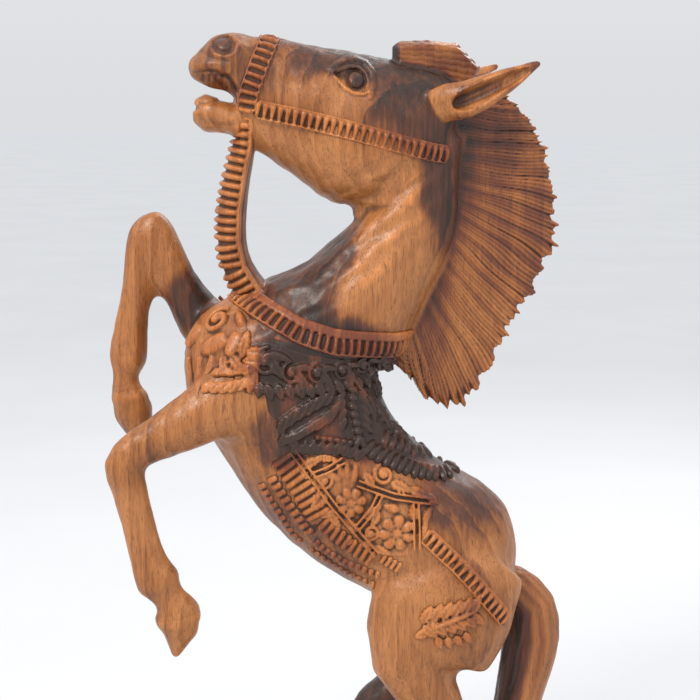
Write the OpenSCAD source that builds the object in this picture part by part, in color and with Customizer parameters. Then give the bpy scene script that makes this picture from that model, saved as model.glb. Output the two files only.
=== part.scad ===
// Rearing horse figurine, carved in hardwood with full parade tack.
// The horse faces -X, its left side is -Y, and it stands on a slab whose
// underside is the plane Z = 0. All lengths are millimetres.

/* [Base] */
// Length of the slab, nose to tail
base_len = 200; // [190:1:220]
// Width of the slab
base_wid = 120; // [110:1:140]
// Thickness of the slab
base_h = 22; // [18:1:24]
// Bevel round the top edge of the slab
base_bevel = 3; // [1:0.5:5]

/* [Body] */
// Half the width of the barrel at its widest
barrel_half = 41; // [38:0.5:44]
// Half the thickness of the neck at the withers
neck_half = 33; // [30:0.5:36]
// How far each leg stands from the centre plane
leg_out = 28; // [26:0.5:31]
// How far each hind leg stands from the centre plane
hind_out = 26; // [24:0.5:29]

/* [Tack] */
// Height of the carved tack above the skin
tack_h = 2.6; // [1.5:0.1:4]
// Width of the ladder straps
strap_w = 8; // [6:0.5:10]
// Half the thickness of the reins, side to side
rein_half = 14; // [11:0.5:16]
// Gap left between neighbouring carved panels
panel_gap = 0.5; // [0.2:0.1:1]

/* [Pegs] */
// Diameter of the dowels under the hind hooves
peg_d = 8; // [6:0.5:10]
// Depth of each dowel in the slab
peg_in_base = 12; // [8:1:14]
// Depth of each dowel in the hoof
peg_in_hoof = 9; // [6:0.5:10]

/* [Facets] */
// Facets round a body section
body_facets = 28; // [16:2:36]
// Facets round a limb section
limb_facets = 16; // [12:2:20]

/* [Hidden] */
left = -1;
right = 1;
// A block wide enough to pass any part of the figure
reach = 120;
// Trim on the head and haunches stands lower than the main tack, and the saddle stands higher
trim_share = 0.8;
saddle_share = 1.4;
// Trim on the haunches starts this far from the centre plane, outside the tail
haunch_clear = 20;
// Step height and inset of the bevelled edge of the forelock
forelock_half = 8;
bevel_step = 2;
bevel_inset = 0.8;

// A section is [x, y, z, half depth seen from the side, half width, tilt of the depth line from +X].
torso_line = [
    [-58, 0, 361, 45, 33, -22],
    [-69.5, 0, 355, 50.5, barrel_half - 3, -14],
    [-78, 0, 344.5, 52.3, barrel_half - 1, -12],
    [-78, 0, 327, 54.7, barrel_half, -9],
    [-71.5, 0, 307.5, 55.7, barrel_half, -4],
    [-57.5, 0, 289.5, 54.5, barrel_half - 1, 1],
    [-40, 0, 267, 53, barrel_half - 2, 12],
    [-16, 0, 248.5, 52, barrel_half - 3, 23],
    [8.5, 0, 230, 45.5, barrel_half - 5, 30],
    [25, 0, 212, 34.5, barrel_half - 11, 34],
    [35, 0, 199, 22, 20, 36]
];
neck_line = [
    [-4, 0, 446, 31, 21, 32],
    [-9.5, 0, 434, 34, 23, 31],
    [-16, 0, 414.5, 37.5, 24.5, 16],
    [-26, 0, 397, 42, 27, 6],
    [-38.5, 0, 382, 43.5, 30, -4],
    [-52, 0, 365, 45.5, neck_half, -17],
    [-60, 0, 350, 46, neck_half, -20]
];
// The head runs from the poll to the upper lip.
head_line = [
    [15, 0, 474, 15, 14, 82],
    [6, 0, 466, 29, 21, 84],
    [-8, 0, 461, 38, 25, 86],
    [-24, 0, 460, 42, 26, 90],
    [-40, 0, 463.5, 42, 25.5, 92],
    [-58, 0, 468, 40.5, 24, 94],
    [-76, 0, 476.5, 35.5, 21, 95],
    [-92, 0, 482.5, 31, 18, 95],
    [-103, 0, 486.5, 28, 16.7, 94]
];
muzzle_line = [
    [-99, 0, 498.5, 16, 17, 90],
    [-106, 0, 499.5, 15.2, 16.5, 88],
    [-113, 0, 500, 14, 15, 84],
    [-119, 0, 499.5, 10.8, 12.5, 80],
    [-124, 0, 498, 6.5, 9, 76],
    [-126.5, 0, 499, 2.5, 5, 74]
];
jaw_line = [
    [-101.5, 0, 468.5, 10, 15, 92],
    [-106, 0, 470, 8.5, 14.5, 90],
    [-113, 0, 472, 9.5, 13.5, 92],
    [-119, 0, 473, 9.8, 12, 88],
    [-124.5, 0, 474.5, 5.5, 8, 84]
];
// A limb section has no tilt: each one is square to the run of the limb.
foreleg_left_line = [
    [-92, -22, 330, 24, 14],
    [-108, -26, 323, 21, 14],
    [-124, -leg_out, 315.5, 16, 12.5],
    [-143, -leg_out, 305.5, 12.5, 10.5],
    [-157, -leg_out, 298.5, 10.5, 9],
    [-165, -leg_out, 289, 11, 9.5],
    [-162.5, -leg_out, 277, 9.3, 8],
    [-158, -leg_out, 256, 8.8, 7],
    [-153, -leg_out, 236, 9.8, 7.5],
    [-148, -leg_out, 225, 11.7, 9],
    [-143.5, -leg_out, 217, 8.2, 7.2],
    [-140, -leg_out, 212.5, 10, 8.5],
    [-138.5, -leg_out, 207, 13.2, 9.8]
];
fore_toe_left = [[-137.5, -leg_out, 197, 9.5, 8.8], [-140, -leg_out, 184, 1.5, 4]];
foreleg_right_upper_line = [
    [-88, 20, 334, 24, 13],
    [-104, 25, 343, 20, 13],
    [-121, leg_out, 359, 14, 12],
    [-133.5, leg_out, 381, 10.6, 10.5],
    [-141, leg_out, 398, 10.4, 10],
    [-146, leg_out, 410, 9.5, 9],
    [-148.5, leg_out, 418, 5, 6]
];
foreleg_right_lower_line = [
    [-146, leg_out, 415, 6, 7],
    [-149, leg_out, 407, 10.5, 9.3],
    [-153, leg_out, 393, 9.8, 9],
    [-156, leg_out, 377, 8.6, 8],
    [-159, leg_out, 360, 8.6, 7.2],
    [-161.5, leg_out, 344, 10.2, 8],
    [-162, leg_out, 336, 10.2, 8.8],
    [-163.5, leg_out, 327.5, 6.6, 6.5],
    [-163, leg_out, 320.5, 8.8, 8.5]
];
fore_toe_right = [[-160, leg_out, 308, 11, 9.5], [-155.5, leg_out, 294, 7, 7.5]];
hind_leg_left_line = [
    [36, -20, 231, 24, 13],
    [23, -24, 217, 33, 17.5],
    [11, -hind_out, 203, 39, 18],
    [-1, -hind_out, 189, 40, 16.5],
    [-9, -hind_out, 172, 23.5, 14],
    [3.5, -hind_out, 149, 14.6, 11.5],
    [15, -hind_out, 130, 11, 9.5],
    [23, -hind_out, 116, 10.5, 9],
    [22, -hind_out, 98, 8.2, 7.5],
    [17, -hind_out, 75, 7.8, 7],
    [12, -hind_out, 53, 9.5, 8.5],
    [7, -hind_out, 44, 7.8, 7.2],
    [2, -hind_out, 37, 12, 10]
];
hind_sole_left = [-3, -hind_out, base_h, 15, 12.5, 0];
hind_leg_right_line = [
    [34, 20, 230, 24, 13],
    [26, 24, 206, 29, 16.5],
    [18, hind_out, 178, 22, 15.5],
    [9, hind_out, 155, 17, 14.5],
    [-7, hind_out, 138, 14, 13.5],
    [-22, hind_out, 127, 13.5, 12.5],
    [-26, hind_out, 115, 12.5, 11.5],
    [-17, hind_out, 102, 11.5, 10.5],
    [-7, hind_out, 90, 10.5, 9],
    [-8, hind_out, 74, 8.2, 7.5],
    [-15, hind_out, 57, 8, 7.2],
    [-21, hind_out, 46, 9.2, 8.5],
    [-27, hind_out, 39, 8, 7.5],
    [-32, hind_out, 34.5, 11.5, 10]
];
hind_sole_right = [-37, hind_out, base_h, 15, 12.5, 0];
tail_line = [
    [38, 0, 210, 9, 9],
    [52, 0, 207, 11, 11],
    [63, 0, 194, 14.5, 13],
    [64.5, 0, 176, 16.5, 14],
    [61.5, 0, 157, 15.5, 14],
    [57, 0, 137, 13.5, 13],
    [52, 0, 112, 12.5, 12],
    [52, 0, 84, 12, 11.5],
    [57, 0, 55, 13, 12],
    [63, 0, base_h, 15, 13]
];
rein_line = [
    [-97, 0, 474, 5, rein_half],
    [-98.5, 0, 456, 7, rein_half],
    [-102, 0, 440, 7.8, rein_half],
    [-105, 0, 422, 8.6, rein_half],
    [-105.5, 0, 405, 8.8, rein_half],
    [-102.5, 0, 391, 9.2, rein_half],
    [-94, 0, 377, 9.8, rein_half + 1],
    [-80, 0, 364, 9, rein_half + 2]
];
ear_left_line = [
    [0, -18, 475, 9, 6],
    [8, -23, 478.5, 10, 7],
    [17, -27, 480, 9.8, 6.5],
    [30, -29, 486, 8, 5.5],
    [44, -30, 493, 4.8, 3.8],
    [55, -31, 499, 1.2, 1.4]
];
ear_left_hollow = [
    [10, -30, 476.5, 2, 3],
    [17, -33, 479, 5, 4.5],
    [30, -34.5, 485, 4.2, 4],
    [42, -34, 491.5, 2.2, 2.6],
    [50, -34, 496, 0.8, 1.2]
];
// The mane is a fan of locks: each is [root x, root z, tip x, tip z].
mane_locks = [
    [6, 484, 41, 484], [12, 478, 50, 476], [16, 468, 58, 468], [19, 458, 66, 455], [20, 449, 69, 441],
    [21, 440, 72, 427], [21, 432, 73, 413], [20, 424, 73, 400], [19, 416, 65, 388], [17, 408, 61, 375],
    [14, 400, 52, 364], [11, 392, 46, 352], [7, 384, 40, 339], [2, 376, 32, 324], [-3, 368, 23, 313],
    [-7, 361, 13, 312], [-10, 356, 3, 316], [-13, 352, -7, 329], [-16, 349, -14, 336]
];
mane_root_half = 9;
mane_tip_half = 4.5;
// Panels of tack, each an outline of [x, z] points seen from the side
collar_outline = [
    [-104, 377], [-98, 386], [-90, 378], [-78, 366.5], [-57, 357], [-22, 353], [-8, 353],
    [-8, 344], [-19, 343.5], [-51, 346.5], [-67, 349.5], [-86, 356], [-98, 366]
];
leaves_outline = [
    [-97, 357], [-86, 355], [-67, 348.5], [-51, 345.5], [-19, 342.5], [-8, 343], [-8, 331],
    [-30, 330], [-52, 327], [-73, 328], [-93, 333], [-102, 327], [-104, 343]
];
saddle_outline = [
    [-92, 332], [-73, 327], [-52, 326], [-30, 329], [-4, 330], [4, 300], [22, 286], [24, 279],
    [10, 276], [2, 277], [-18, 286], [-36, 293], [-41, 298], [-78, 300], [-80, 308], [-90, 318]
];
cloth_outline = [
    [-78, 299], [-41, 297], [-35, 292], [-18, 285], [2, 276], [4, 268], [1, 261], [-8, 250], [-13, 236],
    [-33, 235], [-44, 250], [-57, 259], [-70, 281]
];
fringe_outline = [
    [-86, 297], [-79, 298.5], [-71, 281], [-58, 258.5], [-45, 249.5], [-33, 234.5], [-16, 234],
    [-20, 228], [-34, 219], [-49, 228], [-68, 244], [-84, 260], [-96, 277], [-98, 285]
];
shoulder_outline = [
    [-127, 351], [-123, 365], [-112, 376], [-106, 376], [-99, 366], [-99, 358], [-106, 343], [-107, 330],
    [-110, 312], [-122, 312], [-128, 328]
];
crupper_path = [[-6, 249], [7, 236], [20, 222], [31, 209], [40, 198]];
hip_outline = [
    [-10, 195], [-8, 201], [5, 209], [19, 213], [25, 209], [24, 200], [17, 192], [8, 186], [-3, 187]
];
cheek_path = [[-92, 475], [-70, 470.5], [-44, 464], [-18, 457], [-2, 453], [8, 451]];
noseband_outline = [
    [-77, 516], [-88, 516], [-95, 502], [-101, 489], [-102, 474], [-93, 474], [-91.5, 486], [-84, 501]
];

// A smooth curve through a list of sections
function blend(a, b, c, d, t) =
    0.5 * (2 * b + (c - a) * t + (2 * a - 5 * b + 4 * c - d) * t * t + (3 * b - a - 3 * c + d) * t * t * t);
function smooth(s, n) = [
    for (i = [0 : len(s) - 2], k = [0 : n - 1])
        blend(s[max(i - 1, 0)], s[i], s[i + 1], s[min(i + 2, len(s) - 1)], k / n),
    s[len(s) - 1]
];
// Sections of a limb, each turned square to its run
function aimed(s) = [
    for (i = [0 : len(s) - 1])
        let (run = s[min(i + 1, len(s) - 1)] - s[max(i - 1, 0)])
        [s[i][0], s[i][1], s[i][2], s[i][3], s[i][4], atan2(run[2], run[0]) + 90]
];
function limb(line) = aimed(smooth(line, 2));
// Points round one section, grown outward by the given height
function around(s, facets, grow = 0) = [
    for (k = [0 : facets - 1])
        let (a = 360 * k / facets)
        [
            s[0] + (s[3] + grow) * cos(a) * cos(s[5]),
            s[1] + (s[4] + grow) * sin(a),
            s[2] + (s[3] + grow) * cos(a) * sin(s[5])
        ]
];

// The solid between two neighbouring sections
module span(a, b, facets, grow) {
    hull()
        polyhedron(
            points = concat(around(a, facets, grow), around(b, facets, grow)),
            faces = [[for (k = [0 : facets - 1]) k], [for (k = [0 : facets - 1]) 2 * facets - 1 - k]]
        );
}
// A solid skinned over a run of sections
module skin(s, facets, grow = 0) {
    for (i = [0 : len(s) - 2])
        span(s[i], s[i + 1], facets, grow);
}
// A block that stands on a side-view outline, from a clearance off the centre plane outward
module side_block(outline, side, clear = 1) {
    translate([0, side < 0 ? -clear : reach, 0])
        rotate([90, 0, 0])
            linear_extrude(reach - clear)
                offset(delta = -panel_gap / 2) polygon(outline);
}
// A block on a side-view outline, right through the figure
module through_block(outline) {
    translate([0, reach / 2, 0])
        rotate([90, 0, 0])
            linear_extrude(reach) polygon(outline);
}
// A block under a strap of even width along a side-view path
module strap_block(path, side, width, clear = 1) {
    translate([0, side < 0 ? -clear : reach, 0])
        rotate([90, 0, 0])
            linear_extrude(reach - clear)
                for (i = [0 : len(path) - 2])
                    hull() {
                        translate(path[i]) circle(d = width, $fn = 12);
                        translate(path[i + 1]) circle(d = width, $fn = 12);
                    }
}

// Forms that several pieces are cut to
module torso_form(grow = 0) { skin(smooth(torso_line, 2), body_facets, grow); }
module neck_form(grow = 0) { skin(smooth(neck_line, 2), body_facets, grow); }
module head_form(grow = 0) {
    skin(smooth(head_line, 2), body_facets, grow);
    skin(smooth(muzzle_line, 2), body_facets, grow);
}
module jaw_form() { skin(smooth(jaw_line, 2), limb_facets); }
module hind_leg_left_form(grow = 0) { skin(limb(hind_leg_left_line), limb_facets, grow); }
module hind_leg_right_form(grow = 0) { skin(limb(hind_leg_right_line), limb_facets, grow); }
module tail_form() { skin(limb(tail_line), limb_facets); }
module rein_form() { skin(limb(rein_line), limb_facets); }
module ear_form() { skin(limb(ear_left_line), limb_facets); }
// The right ear is laid further back than the left one
module place_ear(side) {
    if (side == left) children();
    else translate([-8, 0, 0]) mirror([0, 1, 0]) children();
}
function sole_under(leg) = leg[len(leg) - 1];

// A panel of tack on the torso
module torso_panel(outline, side) {
    difference() {
        intersection() {
            torso_form(tack_h);
            side_block(outline, side);
        }
        torso_form();
    }
}

module base() {
    end_r = base_wid / 2;
    end_x = base_len / 2 - end_r;
    slab_h = base_h - base_bevel;
    color("peru")
        difference() {
            union() {
                for (x = [-end_x, end_x])
                    translate([x, 0, 0]) {
                        cylinder(r = end_r, h = slab_h, $fn = 64);
                        translate([0, 0, slab_h])
                            cylinder(r1 = end_r, r2 = end_r - base_bevel, h = base_bevel, $fn = 64);
                    }
                translate([-end_x, -end_r, 0]) cube([2 * end_x, base_wid, slab_h]);
                translate([-end_x, 0, 0])
                    rotate([90, 0, 90])
                        linear_extrude(2 * end_x)
                            polygon([
                                [-end_r, slab_h], [end_r, slab_h],
                                [end_r - base_bevel, base_h], [base_bevel - end_r, base_h]
                            ]);
            }
            peg_holes();
        }
}
module peg_at(sole, from_z, h, d) {
    translate([sole[0], sole[1], from_z]) cylinder(d = d, h = h, $fn = 32);
}
module peg_holes() {
    for (sole = [hind_sole_left, hind_sole_right])
        peg_at(sole, base_h - peg_in_base, peg_in_base + peg_in_hoof, peg_d);
}
module hoof_pegs() { color("burlywood") peg_holes(); }

module torso() { color("chocolate") torso_form(); }
module neck() {
    color("saddlebrown")
        difference() {
            neck_form();
            torso_form();
            head_form();
        }
}
module head() { color("peru") head_form(); }
module lower_jaw() {
    color("peru")
        difference() {
            jaw_form();
            head_form();
        }
}
module ear(side) {
    color("sandybrown")
        difference() {
            place_ear(side)
                difference() {
                    ear_form();
                    skin(limb(ear_left_hollow), limb_facets);
                }
            head_form();
            neck_form();
        }
}
module ear_left() { ear(left); }
module ear_right() { ear(right); }
module forelock() {
    plate = [[-18, 494], [-18, 508], [-14, 511], [2, 511.5], [17, 510], [30, 497], [22, 480], [0, 486]];
    color("sienna")
        difference() {
            for (step = [0 : 3])
                translate([0, forelock_half - bevel_step * step, 0])
                    rotate([90, 0, 0])
                        linear_extrude(2 * (forelock_half - bevel_step * step))
                            offset(delta = bevel_inset * (step - 3)) polygon(plate);
            head_form();
            neck_form();
            for (side = [left, right]) place_ear(side) ear_form();
        }
}
module mane() {
    color("brown")
        difference() {
            for (i = [0 : len(mane_locks) - 2])
                hull() {
                    lock_end(mane_locks[i], false);
                    lock_end(mane_locks[i], true);
                    lock_end(mane_locks[i + 1], false);
                    lock_mid(mane_locks[i + 1]);
                }
            neck_form();
            head_form();
            torso_form(tack_h);
            place_ear(left) ear_form();
            place_ear(right) ear_form();
            forelock_clearance();
        }
}
// Both ends of one lock of the mane, as upright lens shapes
module lock_end(lock, at_tip) {
    half = at_tip ? mane_tip_half : mane_root_half;
    translate([at_tip ? lock[2] : lock[0], 0, at_tip ? lock[3] : lock[1]])
        rotate([90, 0, 0])
            cylinder(r = 2, h = 2 * half, center = true, $fn = 8);
}
module lock_mid(lock) {
    share = 0.93;
    translate([lock[0] + (lock[2] - lock[0]) * share, 0, lock[1] + (lock[3] - lock[1]) * share])
        rotate([90, 0, 0])
            cylinder(r = 2, h = 2 * mane_tip_half, center = true, $fn = 8);
}
module forelock_clearance() {
    through_block([[-25, 484], [-25, 520], [17, 512], [31, 497], [20, 480]]);
}

module foreleg_left() {
    color("peru")
        difference() {
            skin(limb(foreleg_left_line), limb_facets);
            torso_form();
        }
}
module foreleg_right() {
    color("peru")
        difference() {
            union() {
                skin(limb(foreleg_right_upper_line), limb_facets);
                skin(limb(foreleg_right_lower_line), limb_facets);
            }
            torso_form();
        }
}
module hoof(leg_line, toe) {
    sections = limb(leg_line);
    last = sections[len(sections) - 1];
    ends = aimed(concat([leg_line[len(leg_line) - 1]], toe));
    color("sandybrown")
        skin(concat([last], [for (i = [1 : len(ends) - 1]) ends[i]]), limb_facets);
}
module fore_hoof_left() { hoof(foreleg_left_line, fore_toe_left); }
module fore_hoof_right() { hoof(foreleg_right_lower_line, fore_toe_right); }
module hind_leg_left() {
    color("chocolate")
        difference() {
            hind_leg_left_form();
            torso_form();
        }
}
module hind_leg_right() {
    color("chocolate")
        difference() {
            hind_leg_right_form();
            torso_form();
            hind_leg_left_form();
        }
}
module hind_hoof(leg_line, sole) {
    sections = limb(leg_line);
    color("sandybrown")
        difference() {
            span(sole, sections[len(sections) - 1], limb_facets, 0);
            peg_at(sole, base_h - 1, peg_in_hoof + 1, peg_d);
        }
}
module hind_hoof_left() { hind_hoof(hind_leg_left_line, hind_sole_left); }
module hind_hoof_right() { hind_hoof(hind_leg_right_line, hind_sole_right); }
module tail() {
    color("sienna")
        difference() {
            tail_form();
            torso_form();
            hind_leg_left_form();
            hind_leg_right_form();
            translate([-reach, -reach, base_h - 2 * reach]) cube(2 * reach);
        }
}

module noseband() {
    color("brown")
        difference() {
            intersection() {
                head_form(tack_h * trim_share);
                through_block(noseband_outline);
            }
            head_form();
            jaw_form();
            rein_form();
        }
}
module cheek_strap(side) {
    color("brown")
        difference() {
            intersection() {
                union() {
                    head_form(tack_h * trim_share);
                    neck_form(tack_h * trim_share);
                }
                strap_block(cheek_path, side, strap_w);
            }
            head_form();
            neck_form();
            through_block(noseband_outline);
            rein_form();
        }
}
module cheek_strap_left() { cheek_strap(left); }
module cheek_strap_right() { cheek_strap(right); }
module rein(side) {
    color("brown")
        difference() {
            rein_form();
            torso_form();
            neck_form();
            head_form();
            jaw_form();
            translate([-2 * reach, side < 0 ? 0 : -reach, 0]) cube([2 * reach, reach, 6 * reach]);
        }
}
module rein_left() { rein(left); }
module rein_right() { rein(right); }
module collar() {
    color("brown")
        difference() {
            intersection() {
                union() {
                    torso_form(tack_h);
                    neck_form(tack_h);
                }
                through_block(collar_outline);
            }
            torso_form();
            neck_form();
            rein_form();
        }
}
module collar_leaves(side) {
    color("darkslategray")
        difference() {
            torso_panel(leaves_outline, side);
            neck_form(tack_h);
        }
}
module collar_leaves_left() { collar_leaves(left); }
module collar_leaves_right() { collar_leaves(right); }
module shoulder_carving(side) {
    color("chocolate")
        difference() {
            torso_panel(shoulder_outline, side);
            skin(limb(side < 0 ? foreleg_left_line : foreleg_right_upper_line), limb_facets);
            rein_form();
            neck_form();
        }
}
module shoulder_carving_left() { shoulder_carving(left); }
module shoulder_carving_right() { shoulder_carving(right); }
module saddle() {
    color("dimgray")
        difference() {
            intersection() {
                torso_form(tack_h * saddle_share);
                through_block(saddle_outline);
            }
            torso_form();
        }
}
module saddle_cloth_left() { color("chocolate") torso_panel(cloth_outline, left); }
module saddle_cloth_right() { color("chocolate") torso_panel(cloth_outline, right); }
module girth_fringe_left() { color("sienna") torso_panel(fringe_outline, left); }
module girth_fringe_right() { color("sienna") torso_panel(fringe_outline, right); }
module crupper_strap(side) {
    color("brown")
        difference() {
            intersection() {
                union() {
                    torso_form(tack_h * trim_share);
                    if (side < 0) hind_leg_left_form(tack_h * trim_share);
                    else hind_leg_right_form(tack_h * trim_share);
                }
                strap_block(crupper_path, side, strap_w, haunch_clear);
            }
            torso_form();
            hind_leg_left_form();
            hind_leg_right_form();
            tail_form();
            side_block(cloth_outline, side);
        }
}
module crupper_strap_left() { crupper_strap(left); }
module crupper_strap_right() { crupper_strap(right); }
module hip_carving(side) {
    color("chocolate")
        difference() {
            intersection() {
                union() {
                    torso_form(tack_h * trim_share);
                    if (side < 0) hind_leg_left_form(tack_h * trim_share);
                    else hind_leg_right_form(tack_h * trim_share);
                }
                side_block(hip_outline, side, haunch_clear);
            }
            torso_form();
            hind_leg_left_form();
            hind_leg_right_form();
            strap_block(crupper_path, side, strap_w);
        }
}
module hip_carving_left() { hip_carving(left); }
module hip_carving_right() { hip_carving(right); }

base();
hoof_pegs();
torso();
neck();
head();
lower_jaw();
ear_left();
ear_right();
forelock();
mane();
foreleg_left();
foreleg_right();
fore_hoof_left();
fore_hoof_right();
hind_leg_left();
hind_leg_right();
hind_hoof_left();
hind_hoof_right();
tail();
noseband();
cheek_strap_left();
cheek_strap_right();
rein_left();
rein_right();
collar();
collar_leaves_left();
collar_leaves_right();
shoulder_carving_left();
shoulder_carving_right();
saddle();
saddle_cloth_left();
saddle_cloth_right();
girth_fringe_left();
girth_fringe_right();
crupper_strap_left();
crupper_strap_right();
hip_carving_left();
hip_carving_right();
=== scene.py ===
"""Rearing horse figurine carved in oiled hardwood, with ladder-cut reins and full parade tack."""
import math

import bmesh
import bpy
import numpy as np
import openvdb
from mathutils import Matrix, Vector


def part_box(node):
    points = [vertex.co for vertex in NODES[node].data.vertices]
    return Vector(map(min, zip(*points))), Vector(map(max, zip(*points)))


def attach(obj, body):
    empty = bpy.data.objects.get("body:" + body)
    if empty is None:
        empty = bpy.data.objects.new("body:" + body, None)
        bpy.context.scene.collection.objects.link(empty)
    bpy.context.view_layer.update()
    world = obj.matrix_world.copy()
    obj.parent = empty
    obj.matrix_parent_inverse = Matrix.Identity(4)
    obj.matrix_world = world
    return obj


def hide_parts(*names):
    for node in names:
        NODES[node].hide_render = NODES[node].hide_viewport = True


bl_info = {
    "name": "Carved Rearing Horse",
    "version": (1, 0, 0),
    "blender": (4, 5, 0),
    "location": "3D View > Sidebar > Carving",
    "description": "Carves a rearing horse figurine with parade tack round its packed frame",
    "category": "Object",
}

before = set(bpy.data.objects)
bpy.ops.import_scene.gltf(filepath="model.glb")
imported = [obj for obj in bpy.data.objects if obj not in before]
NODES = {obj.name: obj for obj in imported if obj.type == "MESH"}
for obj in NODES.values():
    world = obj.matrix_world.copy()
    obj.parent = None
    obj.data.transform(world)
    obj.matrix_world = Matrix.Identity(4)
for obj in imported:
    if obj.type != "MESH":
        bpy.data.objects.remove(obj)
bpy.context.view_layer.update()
MM = 0.001
LEFT, RIGHT = -1, 1

# The main block of wood, and how far apart its samples of distance lie
TRUNK = (
    "torso", "neck", "head", "foreleg_left", "foreleg_right", "fore_hoof_left", "fore_hoof_right",
    "hind_leg_left", "hind_leg_right", "hind_hoof_left", "hind_hoof_right",
)
BLOCK_STEP = 1.0
BLOCK_EDGE = 9.0
# A piece runs on a little under its neighbour's skin, so that no gap shows along a joint
TUCK_DEPTH = 0.1
TUCK_REACH = 1.5
# A loose skin with fewer facets than this is a speck, not carving
SPECK = 150
# Width over which a cut is told from the skin round it
CUT_SIZE = 1.1
# Facets of each part of the body, as a share of the skin step
FACET_SHARE = {"head": 0.66, "neck": 0.88, "torso": 1.0}
LIMB_FACET_SHARE = 0.92
# Tack panels: the rounding of their edge, and how far they reach under the skin
PANEL_EDGE = 0.8
PANEL_DEPTH = 2.6
PANEL_SINK = 1.2
# Middles of the eye and the nostril in the side view
EYE = (-40.5, 490.3)
NOSTRIL = (-109.0, 508.0)
# Size of rungs too small to show, for a ladder that is only its rails
NO_RUNGS = (0.1, 0.1, 0.1)
work = {}


class CarvingSizes(bpy.types.PropertyGroup):
    blend_radius: bpy.props.FloatProperty(
        name="Blend radius", description="Radius of the hollow where a leg meets the body", default=5 * MM,
        min=2 * MM, max=8 * MM, unit="LENGTH")
    skin_step: bpy.props.FloatProperty(
        name="Skin step", description="Size of the facets of the smooth skin", default=1.05 * MM,
        min=0.6 * MM, max=2 * MM, unit="LENGTH")
    cut_step: bpy.props.FloatProperty(
        name="Cut step", description="Size of the facets of the carved ornament", default=0.6 * MM,
        min=0.35 * MM, max=1 * MM, unit="LENGTH")
    rung_pitch: bpy.props.FloatProperty(
        name="Rung pitch", description="Distance from rung to rung along a ladder strap", default=4.6 * MM,
        min=3 * MM, max=7 * MM, unit="LENGTH")
    lock_depth: bpy.props.FloatProperty(
        name="Lock depth", description="Depth of the grooves between the strands of the mane",
        default=1.6 * MM, min=0.4 * MM, max=2.5 * MM, unit="LENGTH")


class CarvingColours(bpy.types.PropertyGroup):
    sapwood: bpy.props.FloatVectorProperty(
        name="Sapwood", description="Golden outer wood", default=(0.43, 0.168, 0.052), size=3,
        subtype="COLOR", min=0, max=1)
    heartwood: bpy.props.FloatVectorProperty(
        name="Heartwood", description="Red-brown inner wood", default=(0.118, 0.036, 0.015), size=3,
        subtype="COLOR", min=0, max=1)
    dark: bpy.props.FloatVectorProperty(
        name="Dark", description="Near-black heart of the log", default=(0.024, 0.0125, 0.0085), size=3,
        subtype="COLOR", min=0, max=1)


# ---------------------------------------------------------------- fields of distance, in millimetres
def node_mesh(name):
    """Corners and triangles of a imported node, in millimetres."""
    mesh = NODES[name].data
    points = np.empty(len(mesh.vertices) * 3, np.float32)
    mesh.vertices.foreach_get("co", points)
    mesh.calc_loop_triangles()
    tris = np.empty(len(mesh.loop_triangles) * 3, np.int32)
    mesh.loop_triangles.foreach_get("vertices", tris)
    return points.reshape(-1, 3) / MM, tris.reshape(-1, 3).astype(np.uint32)


class Block:
    """A box of evenly spaced samples of distance to a surface."""

    def __init__(self, low, high, step):
        self.step = step
        self.low = np.floor(np.asarray(low, float) / step) * step
        self.shape = tuple(np.ceil((np.asarray(high, float) - self.low) / step).astype(int) + 1)

    def axes(self):
        return [self.low[i] + self.step * np.arange(self.shape[i]) for i in range(3)]

    def solid(self, points, tris=None, quads=None, reach=8.0):
        grid = openvdb.FloatGrid.createLevelSetFromPolygons(
            np.ascontiguousarray(points - self.low, np.float32), triangles=tris, quads=quads,
            transform=openvdb.createLinearTransform(self.step),
            exBandWidth=reach / self.step, inBandWidth=reach / self.step)
        out = np.empty(self.shape, np.float32)
        grid.copyToArray(out, ijk=(0, 0, 0))
        return out

    def surface(self, field, level=0.0):
        grid = openvdb.FloatGrid()
        grid.background = level + 3 * self.step
        grid.copyFromArray(np.clip(field, level - 3 * self.step, level + 3 * self.step).astype(np.float32))
        grid.transform = openvdb.createLinearTransform(self.step)
        points, quads = grid.convertToQuads(isovalue=level)
        return points + self.low.astype(np.float32), quads

    def lift(self, coarse, values):
        """Values of a coarser block, carried onto this one by a smooth spline."""
        out = values
        for axis in range(3):
            count = coarse.shape[axis]
            rows = np.arange(self.shape[axis])
            place = (self.low[axis] + self.step * rows - coarse.low[axis]) / coarse.step
            first = np.floor(place).astype(int)
            t = place - first
            weights = (
                (1 - t) ** 3 / 6, (3 * t**3 - 6 * t**2 + 4) / 6,
                (-3 * t**3 + 3 * t**2 + 3 * t + 1) / 6, t**3 / 6)
            table = np.zeros((self.shape[axis], count), np.float32)
            for k in range(4):
                np.add.at(table, (rows, np.clip(first - 1 + k, 0, count - 1)), weights[k])
            used = np.nonzero(table.any(axis=0))[0]
            lo, hi = used[0], used[-1] + 1
            part = np.take(out, np.arange(lo, hi), axis=axis)
            out = np.moveaxis(np.tensordot(table[:, lo:hi], part, axes=(1, axis)), 0, axis)
        return np.ascontiguousarray(out)

    def sample(self, values, points):
        """Values at free points, by straight interpolation."""
        place = (points - self.low) / self.step
        cell = np.clip(np.floor(place).astype(int), 0, np.array(self.shape) - 2)
        t = np.clip(place - cell, 0, 1)
        out = np.zeros(len(points), np.float32)
        for corner in range(8):
            bit = np.array([corner & 1, corner >> 1 & 1, corner >> 2 & 1])
            weight = np.prod(np.where(bit, t, 1 - t), axis=1)
            i, j, k = (cell + bit).T
            out += weight * values[i, j, k]
        return out


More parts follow.
